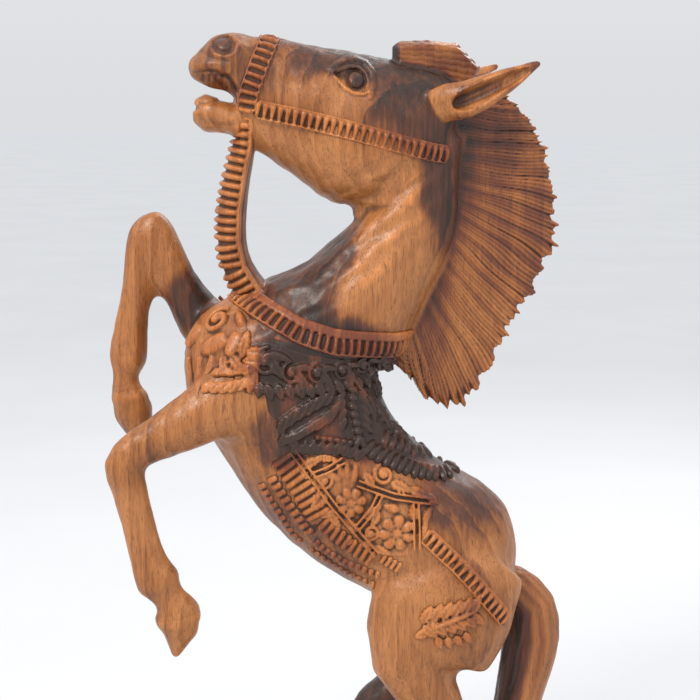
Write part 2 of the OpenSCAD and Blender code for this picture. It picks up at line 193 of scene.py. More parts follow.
def blurred(values, sigma):
    """A Gaussian blur, sigma in samples."""
    reach = max(1, int(math.ceil(2.6 * sigma)))
    weights = np.exp(-0.5 * (np.arange(-reach, reach + 1) / sigma) ** 2)
    weights = (weights / weights.sum()).astype(np.float32)
    out = values
    for axis in range(3):
        pad = [(0, 0)] * 3
        pad[axis] = (reach, reach)
        padded = np.pad(out, pad, mode="edge")
        total = np.zeros_like(out)
        for k, weight in enumerate(weights):
            cut = [slice(None)] * 3
            cut[axis] = slice(k, k + out.shape[axis])
            total += weight * padded[tuple(cut)]
        out = total
    return out


def eased(values, sigma):
    """Facets smoothed away without thinning the limbs."""
    once = blurred(values, sigma)
    return 2 * once - blurred(once, sigma)


def melt(a, b, radius):
    """Union of two fields with a hollow of this radius between them."""
    share = np.clip(radius - np.abs(a - b), 0, None) / radius
    return np.minimum(a, b) - share * share * radius / 4


def step_up(x, low, high):
    t = np.clip((x - low) / (high - low), 0, 1)
    return t * t * (3 - 2 * t)


def bump(x, width):
    return np.exp(-((x / width) ** 2))


def noise(points, size, seed):
    """Smooth repeatable noise between -1 and 1 with bumps of about the given size."""
    rng = np.random.default_rng(seed)
    out = np.zeros(len(points), np.float32)
    for _ in range(10):
        way = rng.normal(size=3)
        way *= rng.uniform(0.6, 1.5) / np.linalg.norm(way)
        turn = (points @ (way * 2 * math.pi / size)).astype(np.float32)
        out += np.sin(turn + np.float32(rng.uniform(0, 2 * math.pi)))
    return out / 4.5


# ---------------------------------------------------------------- shapes cut into the skin
def line_gap(u, v, line):
    """Distance from points of a side view to a bent line."""
    best = np.full(len(u), 1e9)
    for (u0, v0), (u1, v1) in zip(line, line[1:]):
        run = math.hypot(u1 - u0, v1 - v0)
        du, dv = (u1 - u0) / run, (v1 - v0) / run
        t = np.clip((u - u0) * du + (v - v0) * dv, 0, run)
        best = np.minimum(best, np.hypot(u - u0 - t * du, v - v0 - t * dv))
    return best


def bead(gap, width):
    """A rounded ridge of a given half width round a line."""
    return np.sqrt(np.clip(1 - (gap / width) ** 2, 0, 1))


BROW = [(-13.5, 4.6), (-9, 8.3), (-4, 11.2), (1, 11.6), (6, 9.2), (9.3, 4), (9.2, -2.5), (6.8, -9)]
UPPER_LID = [(-12.5, 3.6), (-7.5, 5.4), (-3, 7.0), (1.5, 6.6), (5.4, 3.4), (6.6, -1), (5.6, -5.5)]
LOWER_LID = [(-12.5, 3.2), (-8.6, -1.6), (-5.6, -4.9), (-1.5, -7.2), (3.2, -7.6), (6.2, -6.6)]


def carve_head(p):
    """Relief of the head: eyes with their lids, nostrils, lips and cheeks."""
    x, z = p[:, 0], p[:, 2]
    side = np.abs(p[:, 1])
    out = np.zeros(len(p), np.float32)
    near = step_up(side, 3, 7)
    # Eye, between two lids and under a brow
    a, b = x - EYE[0], z - EYE[1]
    q = np.hypot(a / 5.0, b / 5.2)
    close = (np.abs(a) < 20) & (np.abs(b) < 18)
    eye = np.zeros(len(p), np.float32)
    ca, cb, cq = a[close], b[close], q[close]
    shape = -1.35 * bump(np.hypot((ca + 1.2) / 10.5, cb / 8.0), 1.0)
    shape += 1.9 * np.sqrt(np.clip(1 - (cq / 0.90) ** 2, 0, 1)) * (cq < 0.9)
    shape -= 0.9 * bump(cq - 0.98, 0.13)
    shape += 1.25 * bead(line_gap(ca, cb, UPPER_LID), 1.25)
    shape += 1.15 * bead(line_gap(ca, cb, LOWER_LID), 1.0)
    shape += 1.2 * bead(line_gap(ca, cb, BROW), 1.7)
    shape -= 1.1 * bump(line_gap(ca, cb, [(-14.5, 4.2), (-10, 2.6), (-6.4, 1.0)]), 1.3)
    eye[close] = shape
    out += near * eye
    # Nostril
    q = np.hypot((x - NOSTRIL[0]) / 6.2, (z - NOSTRIL[1]) / 5.2)
    out += near * 0.7 * bump(q - 1.14, 0.15)
    out -= near * 1.1 * bump(q - 0.86, 0.20)
    out += near * 0.3 * step_up(0.62 - q, 0, 0.3)
    out -= near * 0.6 * bump(line_gap(x, z, [(-121, 506), (-116, 501), (-107, 499.5)]), 0.9)
    # Lips and teeth
    lip = [(-124, 493.8), (-118, 494.6), (-112, 494.0), (-106, 490.5), (-102.5, 485)]
    out -= near * 1.3 * bump(line_gap(x, z, lip), 1.1)
    teeth = step_up(-x, 106, 108) * step_up(z, 484, 486) * step_up(493.5 - z, 0, 1)
    out -= near * teeth * (0.8 + 0.8 * bump((x + 121) % 3.2 - 1.6, 0.6))
    out += near * 0.9 * bump(line_gap(x, z, [(-123, 496.8), (-114, 497.4), (-107, 494.5)]), 2.2)
    # Cheek and the hollow behind the mouth
    out += 1.6 * bump(np.hypot((x + 36) / 26, (z - 447) / 18), 1.0)
    out -= 0.9 * bump(np.hypot((x + 82) / 16, (z - 474) / 14), 1.0)
    out -= near * 0.8 * bump(line_gap(x, z, [(-84, 489), (-66, 488), (-50, 483)]), 5.0)
    out += near * 0.7 * bump(line_gap(x, z, [(-30, 477), (-14, 474), (-4, 470)]), 6.0)
    return out


def carve_neck(p):
    """Soft gouge strokes that run down the front of the neck to the chest."""
    x, z = p[:, 0], p[:, 2]
    across = x * 0.60 - z * 0.80
    within = bump(line_gap(x, z, [(-14, 436), (-40, 412), (-70, 388), (-92, 376)]), 26.0)
    hollow = bump(line_gap(x, z, [(-28, 432), (-44, 412), (-66, 392)]), 7.0)
    ridge = bump(line_gap(x, z, [(-8, 430), (-24, 402), (-44, 378)]), 9.0)
    return 0.55 * within * np.sin(across / 1.6 + 1.5 * noise(p, 22, 6)) - 1.2 * hollow + 1.0 * ridge


def tool_marks(p):
    """The shallow unevenness a hand gouge and sandpaper leave."""
    return 0.24 * noise(p, 17, 3) + 0.10 * noise(p, 7, 4) + 0.26 * noise(p * (1, 1, 0.35), 9, 5)


def skin_relief(p):
    """All the relief of the body, neck, head and legs."""
    out = tool_marks(p)
    head = (p[:, 2] > 425) & (p[:, 0] < 30)
    if head.any():
        out[head] += carve_head(p[head])
    throat = (p[:, 2] > 350) & (p[:, 2] < 450) & (p[:, 0] < 20)
    if throat.any():
        out[throat] += carve_neck(p[throat])
    return out


def relieved(block, field, relief, reach=2.4):
    """The field with a relief raised on it, worked out near the surface only."""
    near = np.abs(field) < reach
    i, j, k = np.nonzero(near)
    points = (block.low + block.step * np.stack([i, j, k], axis=1)).astype(np.float32)
    out = field.copy()
    out[i, j, k] -= relief(points)
    return out


# ---------------------------------------------------------------- wood tone over the figure
def tone_at(p):
    """How much heartwood shows, from 0 in golden sapwood to 1 in the dark heart of the log, with painted
    highlights on the cheek and neck ridge and painted shade on the far legs and in the nostril.
    """
    x, y, z = p[:, 0], p[:, 1], p[:, 2]
    tone = 0.16 + 0.12 * noise(p * (1, 1, 0.35), 42, 11)

    def patch(cx, cz, rx, rz, turn, amount, soft=0.35, right_only=False):
        nonlocal tone
        c, s = math.cos(math.radians(turn)), math.sin(math.radians(turn))
        a, b = x - cx, z - cz
        q = np.hypot((a * c + b * s) / rx, (b * c - a * s) / rz)
        share = step_up(1 + soft - q, 0, 2 * soft) * (step_up(y, 4, 12) if right_only else 1)
        tone = tone + (amount - tone) * share

    wobble = 2.5 * noise(p, 30, 12)
    x = x + wobble
    z = z + wobble * 0.7
    patch(-46, 505, 56, 15, -9, 0.74, 0.3)
    patch(-8, 480, 26, 24, -10, 0.66, 0.45)
    patch(0, 492, 22, 12, -10, 0.74)
    patch(-66, 507, 32, 8, -7, 0.66, 0.5)
    patch(-100, 498, 26, 20, -20, 0.42)
    patch(8, 440, 16, 40, 5, 0.66)
    patch(-62, 380, 24, 40, -50, 0.66)
    patch(-72, 402, 14, 26, -60, 0.62)
    # Painted highlights: a golden band along the lit ridge of the neck, and a golden patch on the cheek
    patch(-32, 395, 12, 38, -28, 0.02, 0.45)
    patch(-40, 444, 34, 14, -12, 0.04)
    patch(-60, 345, 38, 22, -5, 0.92)
    patch(-28, 315, 34, 24, -20, 0.92)
    patch(16, 266, 26, 17, -25, 0.58, 0.6)
    patch(-84, 304, 13, 17, 20, 0.60)
    patch(-66, 240, 48, 15, -42, 0.42, 0.5)
    patch(-128, 352, 16, 14, 0, 0.22, 0.5)
    patch(24, 215, 30, 12, -45, 0.30, 0.5)
    patch(-14, 222, 20, 26, 0, 0.04, 0.6)
    # Painted shade: the root of the far foreleg and the far hind leg are darkened, on the right side only
    patch(-124, 374, 14, 26, -40, 0.60, 0.35, True)
    patch(-26, 160, 30, 55, 0, 0.78, 0.35, True)
    patch(-150, 290, 22, 14, 0, 0.30, 0.6)
    patch(0, 60, 60, 18, 0, 0.34, 0.6)
    ball = np.hypot((p[:, 0] - EYE[0]) / 4.4, (p[:, 2] - EYE[1]) / 4.6)
    tone = np.where((ball < 1) & (np.abs(y) > 12), 0.80, tone)
    # Painted shade darkens the hollow of the nostril
    ring = np.hypot((p[:, 0] - NOSTRIL[0]) / 5.0, (p[:, 2] - NOSTRIL[1]) / 4.2)
    tone = tone + 0.22 * step_up(1 - ring, 0, 0.2)
    return np.clip(tone, 0, 1)


def tone_strap(p):
    """Straps stay golden where they cross the dark heart of the block."""
    base = tone_at(p)
    return np.where(base < 0.34, base, 0.34 + 0.30 * (base - 0.34))


def tone_saddle(p):
    """The saddle and the leaves before it are cut in the darkest wood."""
    front = step_up(-p[:, 0], 90, 100)
    return np.clip(0.80 + 0.20 * noise(p, 20, 13) - 0.5 * front, 0, 1)


def new_object(name, points, quads, shade=True):
    mesh = bpy.data.meshes.new(name)
    mesh.vertices.add(len(points))
    mesh.vertices.foreach_set("co", (points * MM).astype(np.float32).ravel())
    mesh.loops.add(quads.size)
    mesh.loops.foreach_set("vertex_index", quads.astype(np.int32).ravel())
    mesh.polygons.add(len(quads))
    mesh.polygons.foreach_set("loop_start", np.arange(0, quads.size, quads.shape[1], dtype=np.int32))
    mesh.polygons.foreach_set("use_smooth", np.full(len(quads), shade))
    mesh.update(calc_edges=True)
    mesh.validate()
    piece = bpy.data.objects.new(name, mesh)
    bpy.context.scene.collection.objects.link(piece)
    return piece


def paint(piece, name, values):
    layer = piece.data.attributes.new(name, "FLOAT", "POINT")
    layer.data.foreach_set("value", values.astype(np.float32))


def outward(points, quads):
    a, b, c = (points[quads[:, i]] for i in (0, 1, 2))
    d = points[quads[:, 3]]
    volume = np.einsum("ij,ij->i", a, np.cross(b, c)).sum() + np.einsum("ij,ij->i", a, np.cross(c, d)).sum()
    return quads if volume > 0 else quads[:, ::-1]


def islands(count, quads):
    """For each corner, the lowest-numbered corner of the closed skin it belongs to."""
    label = np.arange(count)
    while True:
        lower = label.copy()
        np.minimum.at(lower, quads.ravel(), np.repeat(label[quads].min(axis=1), 4))
        lower = lower[lower]
        if (lower == label).all():
            return label
        label = lower


def shell_of(block, field):
    """The closed skins of a field, without the specks that a thin edge leaves."""
    points, quads = block.surface(field)
    label = islands(len(points), quads)[quads[:, 0]]
    found, sizes = np.unique(label, return_counts=True)
    quads = quads[np.isin(label, found[sizes >= SPECK])]
    used, where = np.unique(quads, return_inverse=True)
    points = points[used]
    return points, outward(points, where.reshape(-1, 4))


def finish_piece(piece, material, node):
    piece.data.materials.clear()
    piece.data.materials.append(material)
    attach(piece, "root")
    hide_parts(node)
    return piece


def carved_piece(node, block, field, material, tone=tone_at, cut_gain=0.9, whole=None):
    """A closed piece of wood that stands for a node, with the tone and depth of cut at each corner."""
    points, quads = shell_of(block, field)
    piece = new_object(node + "_wood", points, quads)
    soft = blurred(np.clip(field if whole is None else whole, -4, 4), CUT_SIZE / block.step)
    # Depth of cut: the wood material darkens the hollows with it as painted shade and lightens raised tops
    paint(piece, "cut", np.clip(-block.sample(soft, points) * cut_gain, -1, 1))
    paint(piece, "tone", tone(points.astype(float)))
    return finish_piece(piece, material, node)


def local_block(name, step, margin=3.0):
    low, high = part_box(name)
    return Block(np.array(low) / MM - margin, np.array(high) / MM + margin, step)


# ---------------------------------------------------------------- materials
class Shader:
    """Short names for building one node tree."""

    def __init__(self, name):
        self.material = bpy.data.materials.new(name)
        self.material.use_nodes = True
        self.tree = self.material.node_tree
        self.tree.nodes.clear()

    def node(self, kind, **settings):
        made = self.tree.nodes.new(kind)
        for key, value in settings.items():
            setattr(made, key, value)
        return made

    def put(self, socket, value):
        if isinstance(value, bpy.types.NodeSocket):
            self.tree.links.new(value, socket)
        elif value is not None:
            socket.default_value = value

    def math(self, how, a, b=None, clamp=False):
        made = self.node("ShaderNodeMath", operation=how, use_clamp=clamp)
        self.put(made.inputs[0], a)
        self.put(made.inputs[1], b)
        return made.outputs[0]

    def mix(self, share, a, b, how="MIX"):
        made = self.node("ShaderNodeMix", data_type="RGBA", blend_type=how)
        self.put(made.inputs["Factor"], share)
        self.put(made.inputs[6], a)
        self.put(made.inputs[7], b)
        return made.outputs[2]

    def noise(self, place, scale, detail=4.0, rough=0.55, distort=0.0):
        made = self.node("ShaderNodeTexNoise")
        self.put(made.inputs["Vector"], place)
        self.put(made.inputs["Scale"], scale)
        self.put(made.inputs["Detail"], detail)
        self.put(made.inputs["Roughness"], rough)
        self.put(made.inputs["Distortion"], distort)
        return made.outputs["Fac"]

    def stretch(self, place, scale, turn=(0, 0, 0), shift=(0, 0, 0)):
        made = self.node("ShaderNodeMapping")
        self.put(made.inputs["Vector"], place)
        self.put(made.inputs["Scale"], scale)
        self.put(made.inputs["Rotation"], turn)
        self.put(made.inputs["Location"], shift)
        return made.outputs["Vector"]

    def ramp(self, value, *stops):
        made = self.node("ShaderNodeValToRGB")
        self.put(made.inputs[0], value)
        ramp = made.color_ramp
        while len(ramp.elements) < len(stops):
            ramp.elements.new(0.5)
        for element, (place, colour) in zip(ramp.elements, stops):
            element.position = place
            element.color = (*colour, 1)
        return made.outputs["Color"]

    def grey(self, value, low, high, to_low=0.0, to_high=1.0):
        made = self.node("ShaderNodeMapRange", clamp=True)
        self.put(made.inputs["Value"], value)
        for key, amount in zip(("From Min", "From Max", "To Min", "To Max"), (low, high, to_low, to_high)):
            made.inputs[key].default_value = amount
        return made.outputs["Result"]


def wood(name, shift=0.0, gloss=0.38, red=0.0, grain_depth=0.35, spread=0.75, streaks=0.66, rings=0.20):
    """Oiled hardwood with upright grain; shift moves it toward heartwood."""
    colours = bpy.context.scene.carving_colours
    sap, heart, dark = (Vector(c) for c in (colours.sapwood, colours.heartwood, colours.dark))
    s = Shader(name)
    place = s.node("ShaderNodeTexCoord").outputs["Object"]
    tone = s.node("ShaderNodeAttribute", attribute_name="tone").outputs["Fac"]
    cut = s.node("ShaderNodeAttribute", attribute_name="cut").outputs["Fac"]
    lean = (math.radians(4), math.radians(-7), 0)
    figure = s.noise(s.stretch(place, (30, 30, 9), lean), 1.0, 5, 0.62, 0.9)
    streak = s.noise(s.stretch(place, (420, 420, 24), lean), 1.0, 4, 0.6, 0.3)
    fine = s.noise(s.stretch(place, (1500, 1500, 90), lean), 1.0, 3, 0.6)
    pores = s.noise(s.stretch(place, (1900, 1900, 150), lean), 1.0, 1, 0.4)
    depth = s.math("ADD", tone, s.math("MULTIPLY", s.math("SUBTRACT", figure, 0.5), spread))
    depth = s.math("ADD", depth, s.math("MULTIPLY", s.math("SUBTRACT", streak, 0.5), streaks))
    ring = s.node("ShaderNodeTexWave", wave_type="RINGS", rings_direction="Z", wave_profile="SAW")
    s.put(ring.inputs["Vector"], s.stretch(place, (1, 1, 0.16), (0.05, -0.12, 0), (0.0, 0.11, 0.0)))
    for key, value in (("Scale", 38.0), ("Distortion", 5.5), ("Detail", 3.0), ("Detail Scale", 1.4)):
        ring.inputs[key].default_value = value
    depth = s.math("ADD", depth, s.math("MULTIPLY", s.math("SUBTRACT", ring.outputs["Fac"], 0.5), rings))
    depth = s.math("ADD", depth, shift)
    warm = Vector((heart.x * 1.30, heart.y * 0.90, heart.z * 0.8))
    heart = heart.lerp(warm, red)
    amber = sap.lerp(heart, 0.48)
    amber = Vector((amber.x * 1.06, amber.y * 0.98, amber.z * 0.72))
    colour = s.ramp(
        depth, (0.0, sap * 1.12), (0.16, sap), (0.42, amber), (0.66, heart), (0.95, dark))
    colour = s.mix(s.grey(fine, 0.42, 0.66, 0.0, 0.40), colour, s.mix(0.5, colour, (*(heart * 0.6), 1)))
    colour = s.mix(s.grey(pores, 0.60, 0.70, 0.0, 0.50), colour, (*(dark * 1.5), 1))
    # Painted shade: the colour darkens toward dark wood in deep cuts; deep cuts are also rougher
    deep = s.grey(cut, 0.04, 0.42)
    colour = s.mix(s.math("MULTIPLY", deep, 0.86), colour, (*(dark.lerp(heart, 0.12)), 1))
    # Raised tops and ridges are lightened
    raised_top = s.grey(cut, -0.06, -0.50)
    lighter = s.mix(1.0, colour, (1.9, 1.75, 1.6, 1), "MULTIPLY")
    colour = s.mix(s.math("MULTIPLY", raised_top, 0.45), colour, lighter)
    rough = s.math("ADD", s.math("MULTIPLY", fine, 0.22), gloss - 0.08)
    rough = s.math("ADD", rough, s.math("MULTIPLY", deep, 0.25), clamp=True)
    ridge = s.node("ShaderNodeBump")
    ridge.inputs["Strength"].default_value = grain_depth
    ridge.inputs["Distance"].default_value = 0.0006
    height = s.math("SUBTRACT", s.math("ADD", s.math("MULTIPLY", streak, 0.7), s.math("MULTIPLY", fine, 0.5)),
                    s.grey(pores, 0.58, 0.70, 0.0, 0.6))
    s.put(ridge.inputs["Height"], height)
    shader = s.node("ShaderNodeBsdfPrincipled")
    s.put(shader.inputs["Base Color"], colour)
    s.put(shader.inputs["Roughness"], rough)
    s.put(shader.inputs["Normal"], ridge.outputs["Normal"])
    shader.inputs["Specular IOR Level"].default_value = 0.35
    shader.inputs["Coat Weight"].default_value = 0.16
    shader.inputs["Coat Roughness"].default_value = 0.28
    s.put(s.node("ShaderNodeOutputMaterial").inputs["Surface"], shader.outputs["BSDF"])
    return s.material


def make_woods():
    """All the woods of the figurine, kept by name."""
    work["wood"] = wood("oiled wood", shift=0.15)
    work["red wood"] = wood(
        "red heartwood", shift=0.19, red=0.5, grain_depth=0.2, spread=0.35, streaks=0.25, rings=0.05)
    work["tack wood"] = wood("tack wood", shift=0.18, red=0.6, spread=0.5, streaks=0.4, rings=0.12)
    work["dark wood"] = wood(
        "dark heartwood", shift=0.20, gloss=0.36, red=0.4, spread=0.7, streaks=0.5, rings=0.10)
    colours = bpy.context.scene.carving_colours
    sap, heart = Vector(colours.sapwood), Vector(colours.heartwood)
    work["board"] = board_wood("oiled board", sap.lerp(heart, 0.35), heart * 0.7, 0.34, 34.0)
    pale, brown = Vector((0.58, 0.40, 0.23)), Vector((0.34, 0.20, 0.10))
    work["dowel wood"] = board_wood("dowel wood", pale, brown, 0.50, 90.0)


# ---------------------------------------------------------------- motifs the carver repeats
def sheet_solid(name, top, half, long_steps=12, wide_steps=8, sink=0.6, across=False):
    """A closed low mound, one unit long and wide: half(t) is its half width and top(t, s) its height."""
    t = np.linspace(0, 1, long_steps + 1)
    u = np.linspace(-1, 1, wide_steps + 1)
    grid_t, grid_s = np.meshgrid(t, u, indexing="ij")
    x, y = grid_t - 0.5, grid_s * half(grid_t)
    if across:
        x, y = -y, x
    upper = np.stack([x, y, top(grid_t, grid_s)], axis=-1).reshape(-1, 3)
    lower = np.stack([x, y, np.full_like(x, -sink)], axis=-1).reshape(-1, 3)
    wide = wide_steps + 1
    faces = []
    for i in range(long_steps):
        for j in range(wide_steps):
            a = i * wide + j
            faces += [(a, a + wide, a + wide + 1), (a, a + wide + 1, a + 1)]
    count = len(upper)
    rim = [i * wide for i in range(long_steps + 1)] + [long_steps * wide + j for j in range(1, wide)]
    rim += [i * wide + wide_steps for i in range(long_steps - 1, -1, -1)] + list(range(wide_steps - 1, 0, -1))
    bottom = [(a + count, c + count, b + count) for a, b, c in faces]
    walls = []
    for a, b in zip(rim, rim[1:] + rim[:1]):
        walls += [(b, a, a + count), (b, a + count, b + count)]
    return helper(name, np.concatenate([upper, lower]), faces + bottom + walls)


def helper(name, points, faces):
    """An object that only lends its shape, removed before the model is finished."""
    mesh = bpy.data.meshes.new(name)
    mesh.from_pydata([tuple(p) for p in points], [], [tuple(f) for f in faces])
    mesh.update()
    made = bpy.data.objects.new(name, mesh)
    bpy.context.scene.collection.objects.link(made)
    work.setdefault("helpers", []).append(made)
    return made


def helper_mesh(name, points, quads):
    made = new_object(name, points, outward(points, quads))
    work.setdefault("helpers", []).append(made)
    return made


def flower_solid(name, petals=7, around=56, rings=9, sink=0.6):
    """A flower of rounded petals round a button, one unit across."""
    points, faces = [(0, 0, 0.75)], []
    for r in range(1, rings + 1):
        share = r / rings
        for k in range(around):
            turn = 2 * math.pi * k / around
            lobe = abs(math.cos(petals * turn / 2)) ** 0.55
            radius = share * 0.5 * (0.66 + 0.34 * lobe)
            button = 0.85 * max(0, 1 - (share / 0.30) ** 2) ** 0.5
            dip = -0.35 * math.exp(-(((share - 0.36) / 0.09) ** 2))
            petal = (0.25 + 0.65 * lobe) * math.sin(math.pi * min(1, share / 1.04)) ** 0.5
            points.append((radius * math.cos(turn), radius * math.sin(turn), max(button, petal + dip)))
    for k in range(around):
        n = (k + 1) % around
        faces.append((0, 1 + k, 1 + n))
        for r in range(rings - 1):
            a, b = 1 + r * around, 1 + (r + 1) * around
            faces += [(a + k, b + k, b + n), (a + k, b + n, a + n)]
    edge, count = 1 + (rings - 1) * around, len(points)
    points += [(points[edge + k][0], points[edge + k][1], -sink) for k in range(around)] + [(0, 0, -sink)]
    for k in range(around):
        n = (k + 1) % around
        faces += [(edge + k, count + k, count + n), (edge + k, count + n, edge + n)]
        faces.append((count + around, count + n, count + k))
    return helper(name, points, faces)


def swirl_solid(name, turns=1.45, steps=44, sides=7):
    """A curled ridge that winds in to a round knob."""
    points, faces = [], []
    for i in range(steps + 1):
        t = i / steps
        turn = 2 * math.pi * turns * t
        radius = 0.44 * (1 - t) ** 0.8 + 0.05
        thick = 0.085 + 0.06 * t * t
        centre = Vector((radius * math.cos(turn), radius * math.sin(turn), 0.15 + 0.3 * t))
        out = Vector((math.cos(turn), math.sin(turn), 0))
        for k in range(sides):
            a = 2 * math.pi * k / sides
            points.append(centre + thick * (out * math.cos(a) + Vector((0, 0, 4.2 * math.sin(a)))))
    for i in range(steps):
        for k in range(sides):
            n = (k + 1) % sides
            a, b = i * sides, (i + 1) * sides
            faces += [(a + k, b + k, b + n), (a + k, b + n, a + n)]
    for k in range(1, sides - 1):
        faces.append((0, k, k + 1))
        faces.append((steps * sides, steps * sides + k + 1, steps * sides + k))
    return helper(name, points, faces)


def dome(s, power=0.5):
    return np.clip(1 - s * s, 0, 1) ** power


def ends(t, power=4):
    return np.clip(1 - np.abs(2 * t - 1) ** power, 0, 1)


def round_half(t):
    return 0.5 * ends(t, 2) ** 0.5


def leaf_half(t):
    return 0.5 * np.sin(math.pi * t**0.75) ** 0.8 * (1 + 0.13 * np.cos(2 * math.pi * 5 * t))


def leaf_top(t, s):
    vein = 0.12 * np.cos(2 * math.pi * 5 * t) * np.abs(s)
    return dome(s, 0.45) * (0.45 + 0.55 * np.sin(math.pi * t)) - 0.55 * bump(s, 0.2) + vein


def feather_half(t):
    return 0.5 * np.sin(math.pi * (0.12 + 0.88 * t)) ** 0.7


def feather_top(t, s):
    return (0.75 + 0.25 * np.cos(4 * math.pi * s)) * dome(s, 0.3) * ends(t, 3) ** 0.5


def petal_half(t):
    return 0.5 * (0.25 + 0.75 * np.sin(math.pi * (0.08 + 0.9 * t)) ** 0.6)


def petal_top(t, s):
    return dome(s, 0.5) * (0.35 + 0.65 * t) * ends(t, 8) ** 0.5


def rung_top(t, s):
    return dome(s, 0.6) * ends(t, 6) ** 0.5


def make_motifs():
    """The shapes that Geometry Nodes set out, each one unit long and wide."""
    return {
        "rung": sheet_solid("rung shape", rung_top, lambda t: 0.5 + 0 * t, 6, 6, across=True),
        "arch": sheet_solid("arch shape", rung_top, lambda t: 0.20 + 0.34 * t, 6, 6, across=True),
        "tongue": sheet_solid("tongue shape", lambda t, s: dome(s, 0.7) * ends(t, 6) ** 0.6,
                              lambda t: 0.5 * ends(t, 5) ** 0.35, 8, 6),
        "leaf": sheet_solid("leaf shape", leaf_top, leaf_half, 24, 10),
        "feather": sheet_solid("feather shape", feather_top, feather_half, 16, 16),
        "petal": sheet_solid("petal shape", petal_top, petal_half, 10, 8),
        "bead": sheet_solid("bead shape", lambda t, s: dome(s, 0.5) * ends(t, 2) ** 0.5, round_half, 8, 8),
        "flower": flower_solid("flower shape"),
        "swirl": swirl_solid("swirl shape"),
    }


# ---------------------------------------------------------------- geometry nodes
class Tree:
    """A geometry node tree with named inputs."""

    def __init__(self, name, **inputs):
        self.group = bpy.data.node_groups.new(name, "GeometryNodeTree")
        face = self.group.interface
        face.new_socket("Geometry", in_out="OUTPUT", socket_type="NodeSocketGeometry")
        face.new_socket("Geometry", in_out="INPUT", socket_type="NodeSocketGeometry")
        for key, (kind, value) in inputs.items():
            socket = face.new_socket(key.replace("_", " "), in_out="INPUT", socket_type="NodeSocket" + kind)
            if value is not None:
                socket.default_value = value
        self.input = self.group.nodes.new("NodeGroupInput").outputs
        self.output = self.group.nodes.new("NodeGroupOutput").inputs

    def node(self, kind, inputs=(), **settings):
        made = self.group.nodes.new(kind)
        for key, value in settings.items():
            setattr(made, key, value)
        for key, value in dict(inputs).items():
            if isinstance(value, bpy.types.NodeSocket):
                self.group.links.new(value, made.inputs[key])
            else:
                made.inputs[key].default_value = value
        return made

    def finish(self, geometry):
        real = self.node("GeometryNodeRealizeInstances", {"Geometry": geometry}).outputs[0]
        dressed = self.node("GeometryNodeSetMaterial", {"Geometry": real, "Material": self.input["Material"]})
        self.group.links.new(dressed.outputs[0], self.output["Geometry"])
        return self.group

    def skin_normal(self):
        skin = self.node("GeometryNodeObjectInfo", {"Object": self.input["Skin"]}).outputs["Geometry"]
        sample = self.node("GeometryNodeSampleNearestSurface", {"Mesh": skin}, data_type="FLOAT_VECTOR")
        self.group.links.new(self.node("GeometryNodeInputNormal").outputs[0], sample.inputs["Value"])
        return sample.outputs["Value"]

    def stand(self, points, up, aim, shape, scale):
        """Instances of a shape that stand up from the skin and point along aim."""
        turn = self.node("FunctionNodeAxesToRotation", {"Primary Axis": up, "Secondary Axis": aim},
                         primary_axis="Z", secondary_axis="X").outputs[0]
        thing = self.node("GeometryNodeObjectInfo", {"Object": shape}).outputs["Geometry"]
        return self.node("GeometryNodeInstanceOnPoints",
                         {"Points": points, "Instance": thing, "Rotation": turn, "Scale": scale}).outputs[0]


def ladder_tree():
    """Rungs at an even pitch along a strap, between two rails."""
    t = Tree("ladder strap", Skin=("Object", None), Rung=("Object", None), Pitch=("Float", 0.0046),
             Rung_Size=("Vector", (0.002, 0.007, 0.002)), Rail_Offset=("Float", 0.004),
             Rail_Lift=("Float", 0.001), Rail_Radius=("Float", 0.0006), Material=("Material", None))
    up = t.skin_normal()
    lift = t.node("ShaderNodeVectorMath", {0: up, "Scale": t.input["Rail Lift"]},
                  operation="SCALE").outputs[0]
    line = t.node("GeometryNodeCurveToPoints", {"Curve": t.input["Geometry"], "Length": t.input["Pitch"]},
                  mode="LENGTH")
    rungs = t.stand(
        line.outputs["Points"], up, line.outputs["Tangent"], t.input["Rung"], t.input["Rung Size"])
    tangent = t.node("GeometryNodeInputTangent").outputs[0]
    across = t.node("ShaderNodeVectorMath", {0: tangent, 1: up}, operation="CROSS_PRODUCT").outputs[0]
    circle = t.node("GeometryNodeCurvePrimitiveCircle",
                    {"Resolution": 8, "Radius": t.input["Rail Radius"]}).outputs[0]
    join = t.node("GeometryNodeJoinGeometry")
    t.group.links.new(rungs, join.inputs[0])
    for sign in (1, -1):
        reach = t.node("ShaderNodeMath", {0: t.input["Rail Offset"], 1: sign},
                       operation="MULTIPLY").outputs[0]
        shift = t.node("ShaderNodeVectorMath", {0: across, "Scale": reach}, operation="SCALE").outputs[0]
        away = t.node("ShaderNodeVectorMath", {0: shift, 1: lift}, operation="ADD").outputs[0]
        moved = t.node("GeometryNodeSetPosition",
                       {"Geometry": t.input["Geometry"], "Offset": away}).outputs[0]
        rail = t.node("GeometryNodeCurveToMesh",
                      {"Curve": moved, "Profile Curve": circle, "Fill Caps": True}).outputs[0]
        t.group.links.new(rail, join.inputs[0])
    return t.finish(join.outputs[0])


def mark_tree():
    """One carved shape at each mark, standing on the skin, sized and aimed by the mark."""
    t = Tree("carved marks", Skin=("Object", None), Shape=("Object", None), Material=("Material", None))
    aim = t.node("GeometryNodeInputNamedAttribute", {"Name": "aim"}, data_type="FLOAT_VECTOR").outputs[0]
    size = t.node("GeometryNodeInputNamedAttribute", {"Name": "size"}, data_type="FLOAT_VECTOR").outputs[0]
    points = t.node("GeometryNodeMeshToPoints", {"Mesh": t.input["Geometry"]}).outputs[0]
    return t.finish(t.stand(points, t.skin_normal(), aim, t.input["Shape"], size))


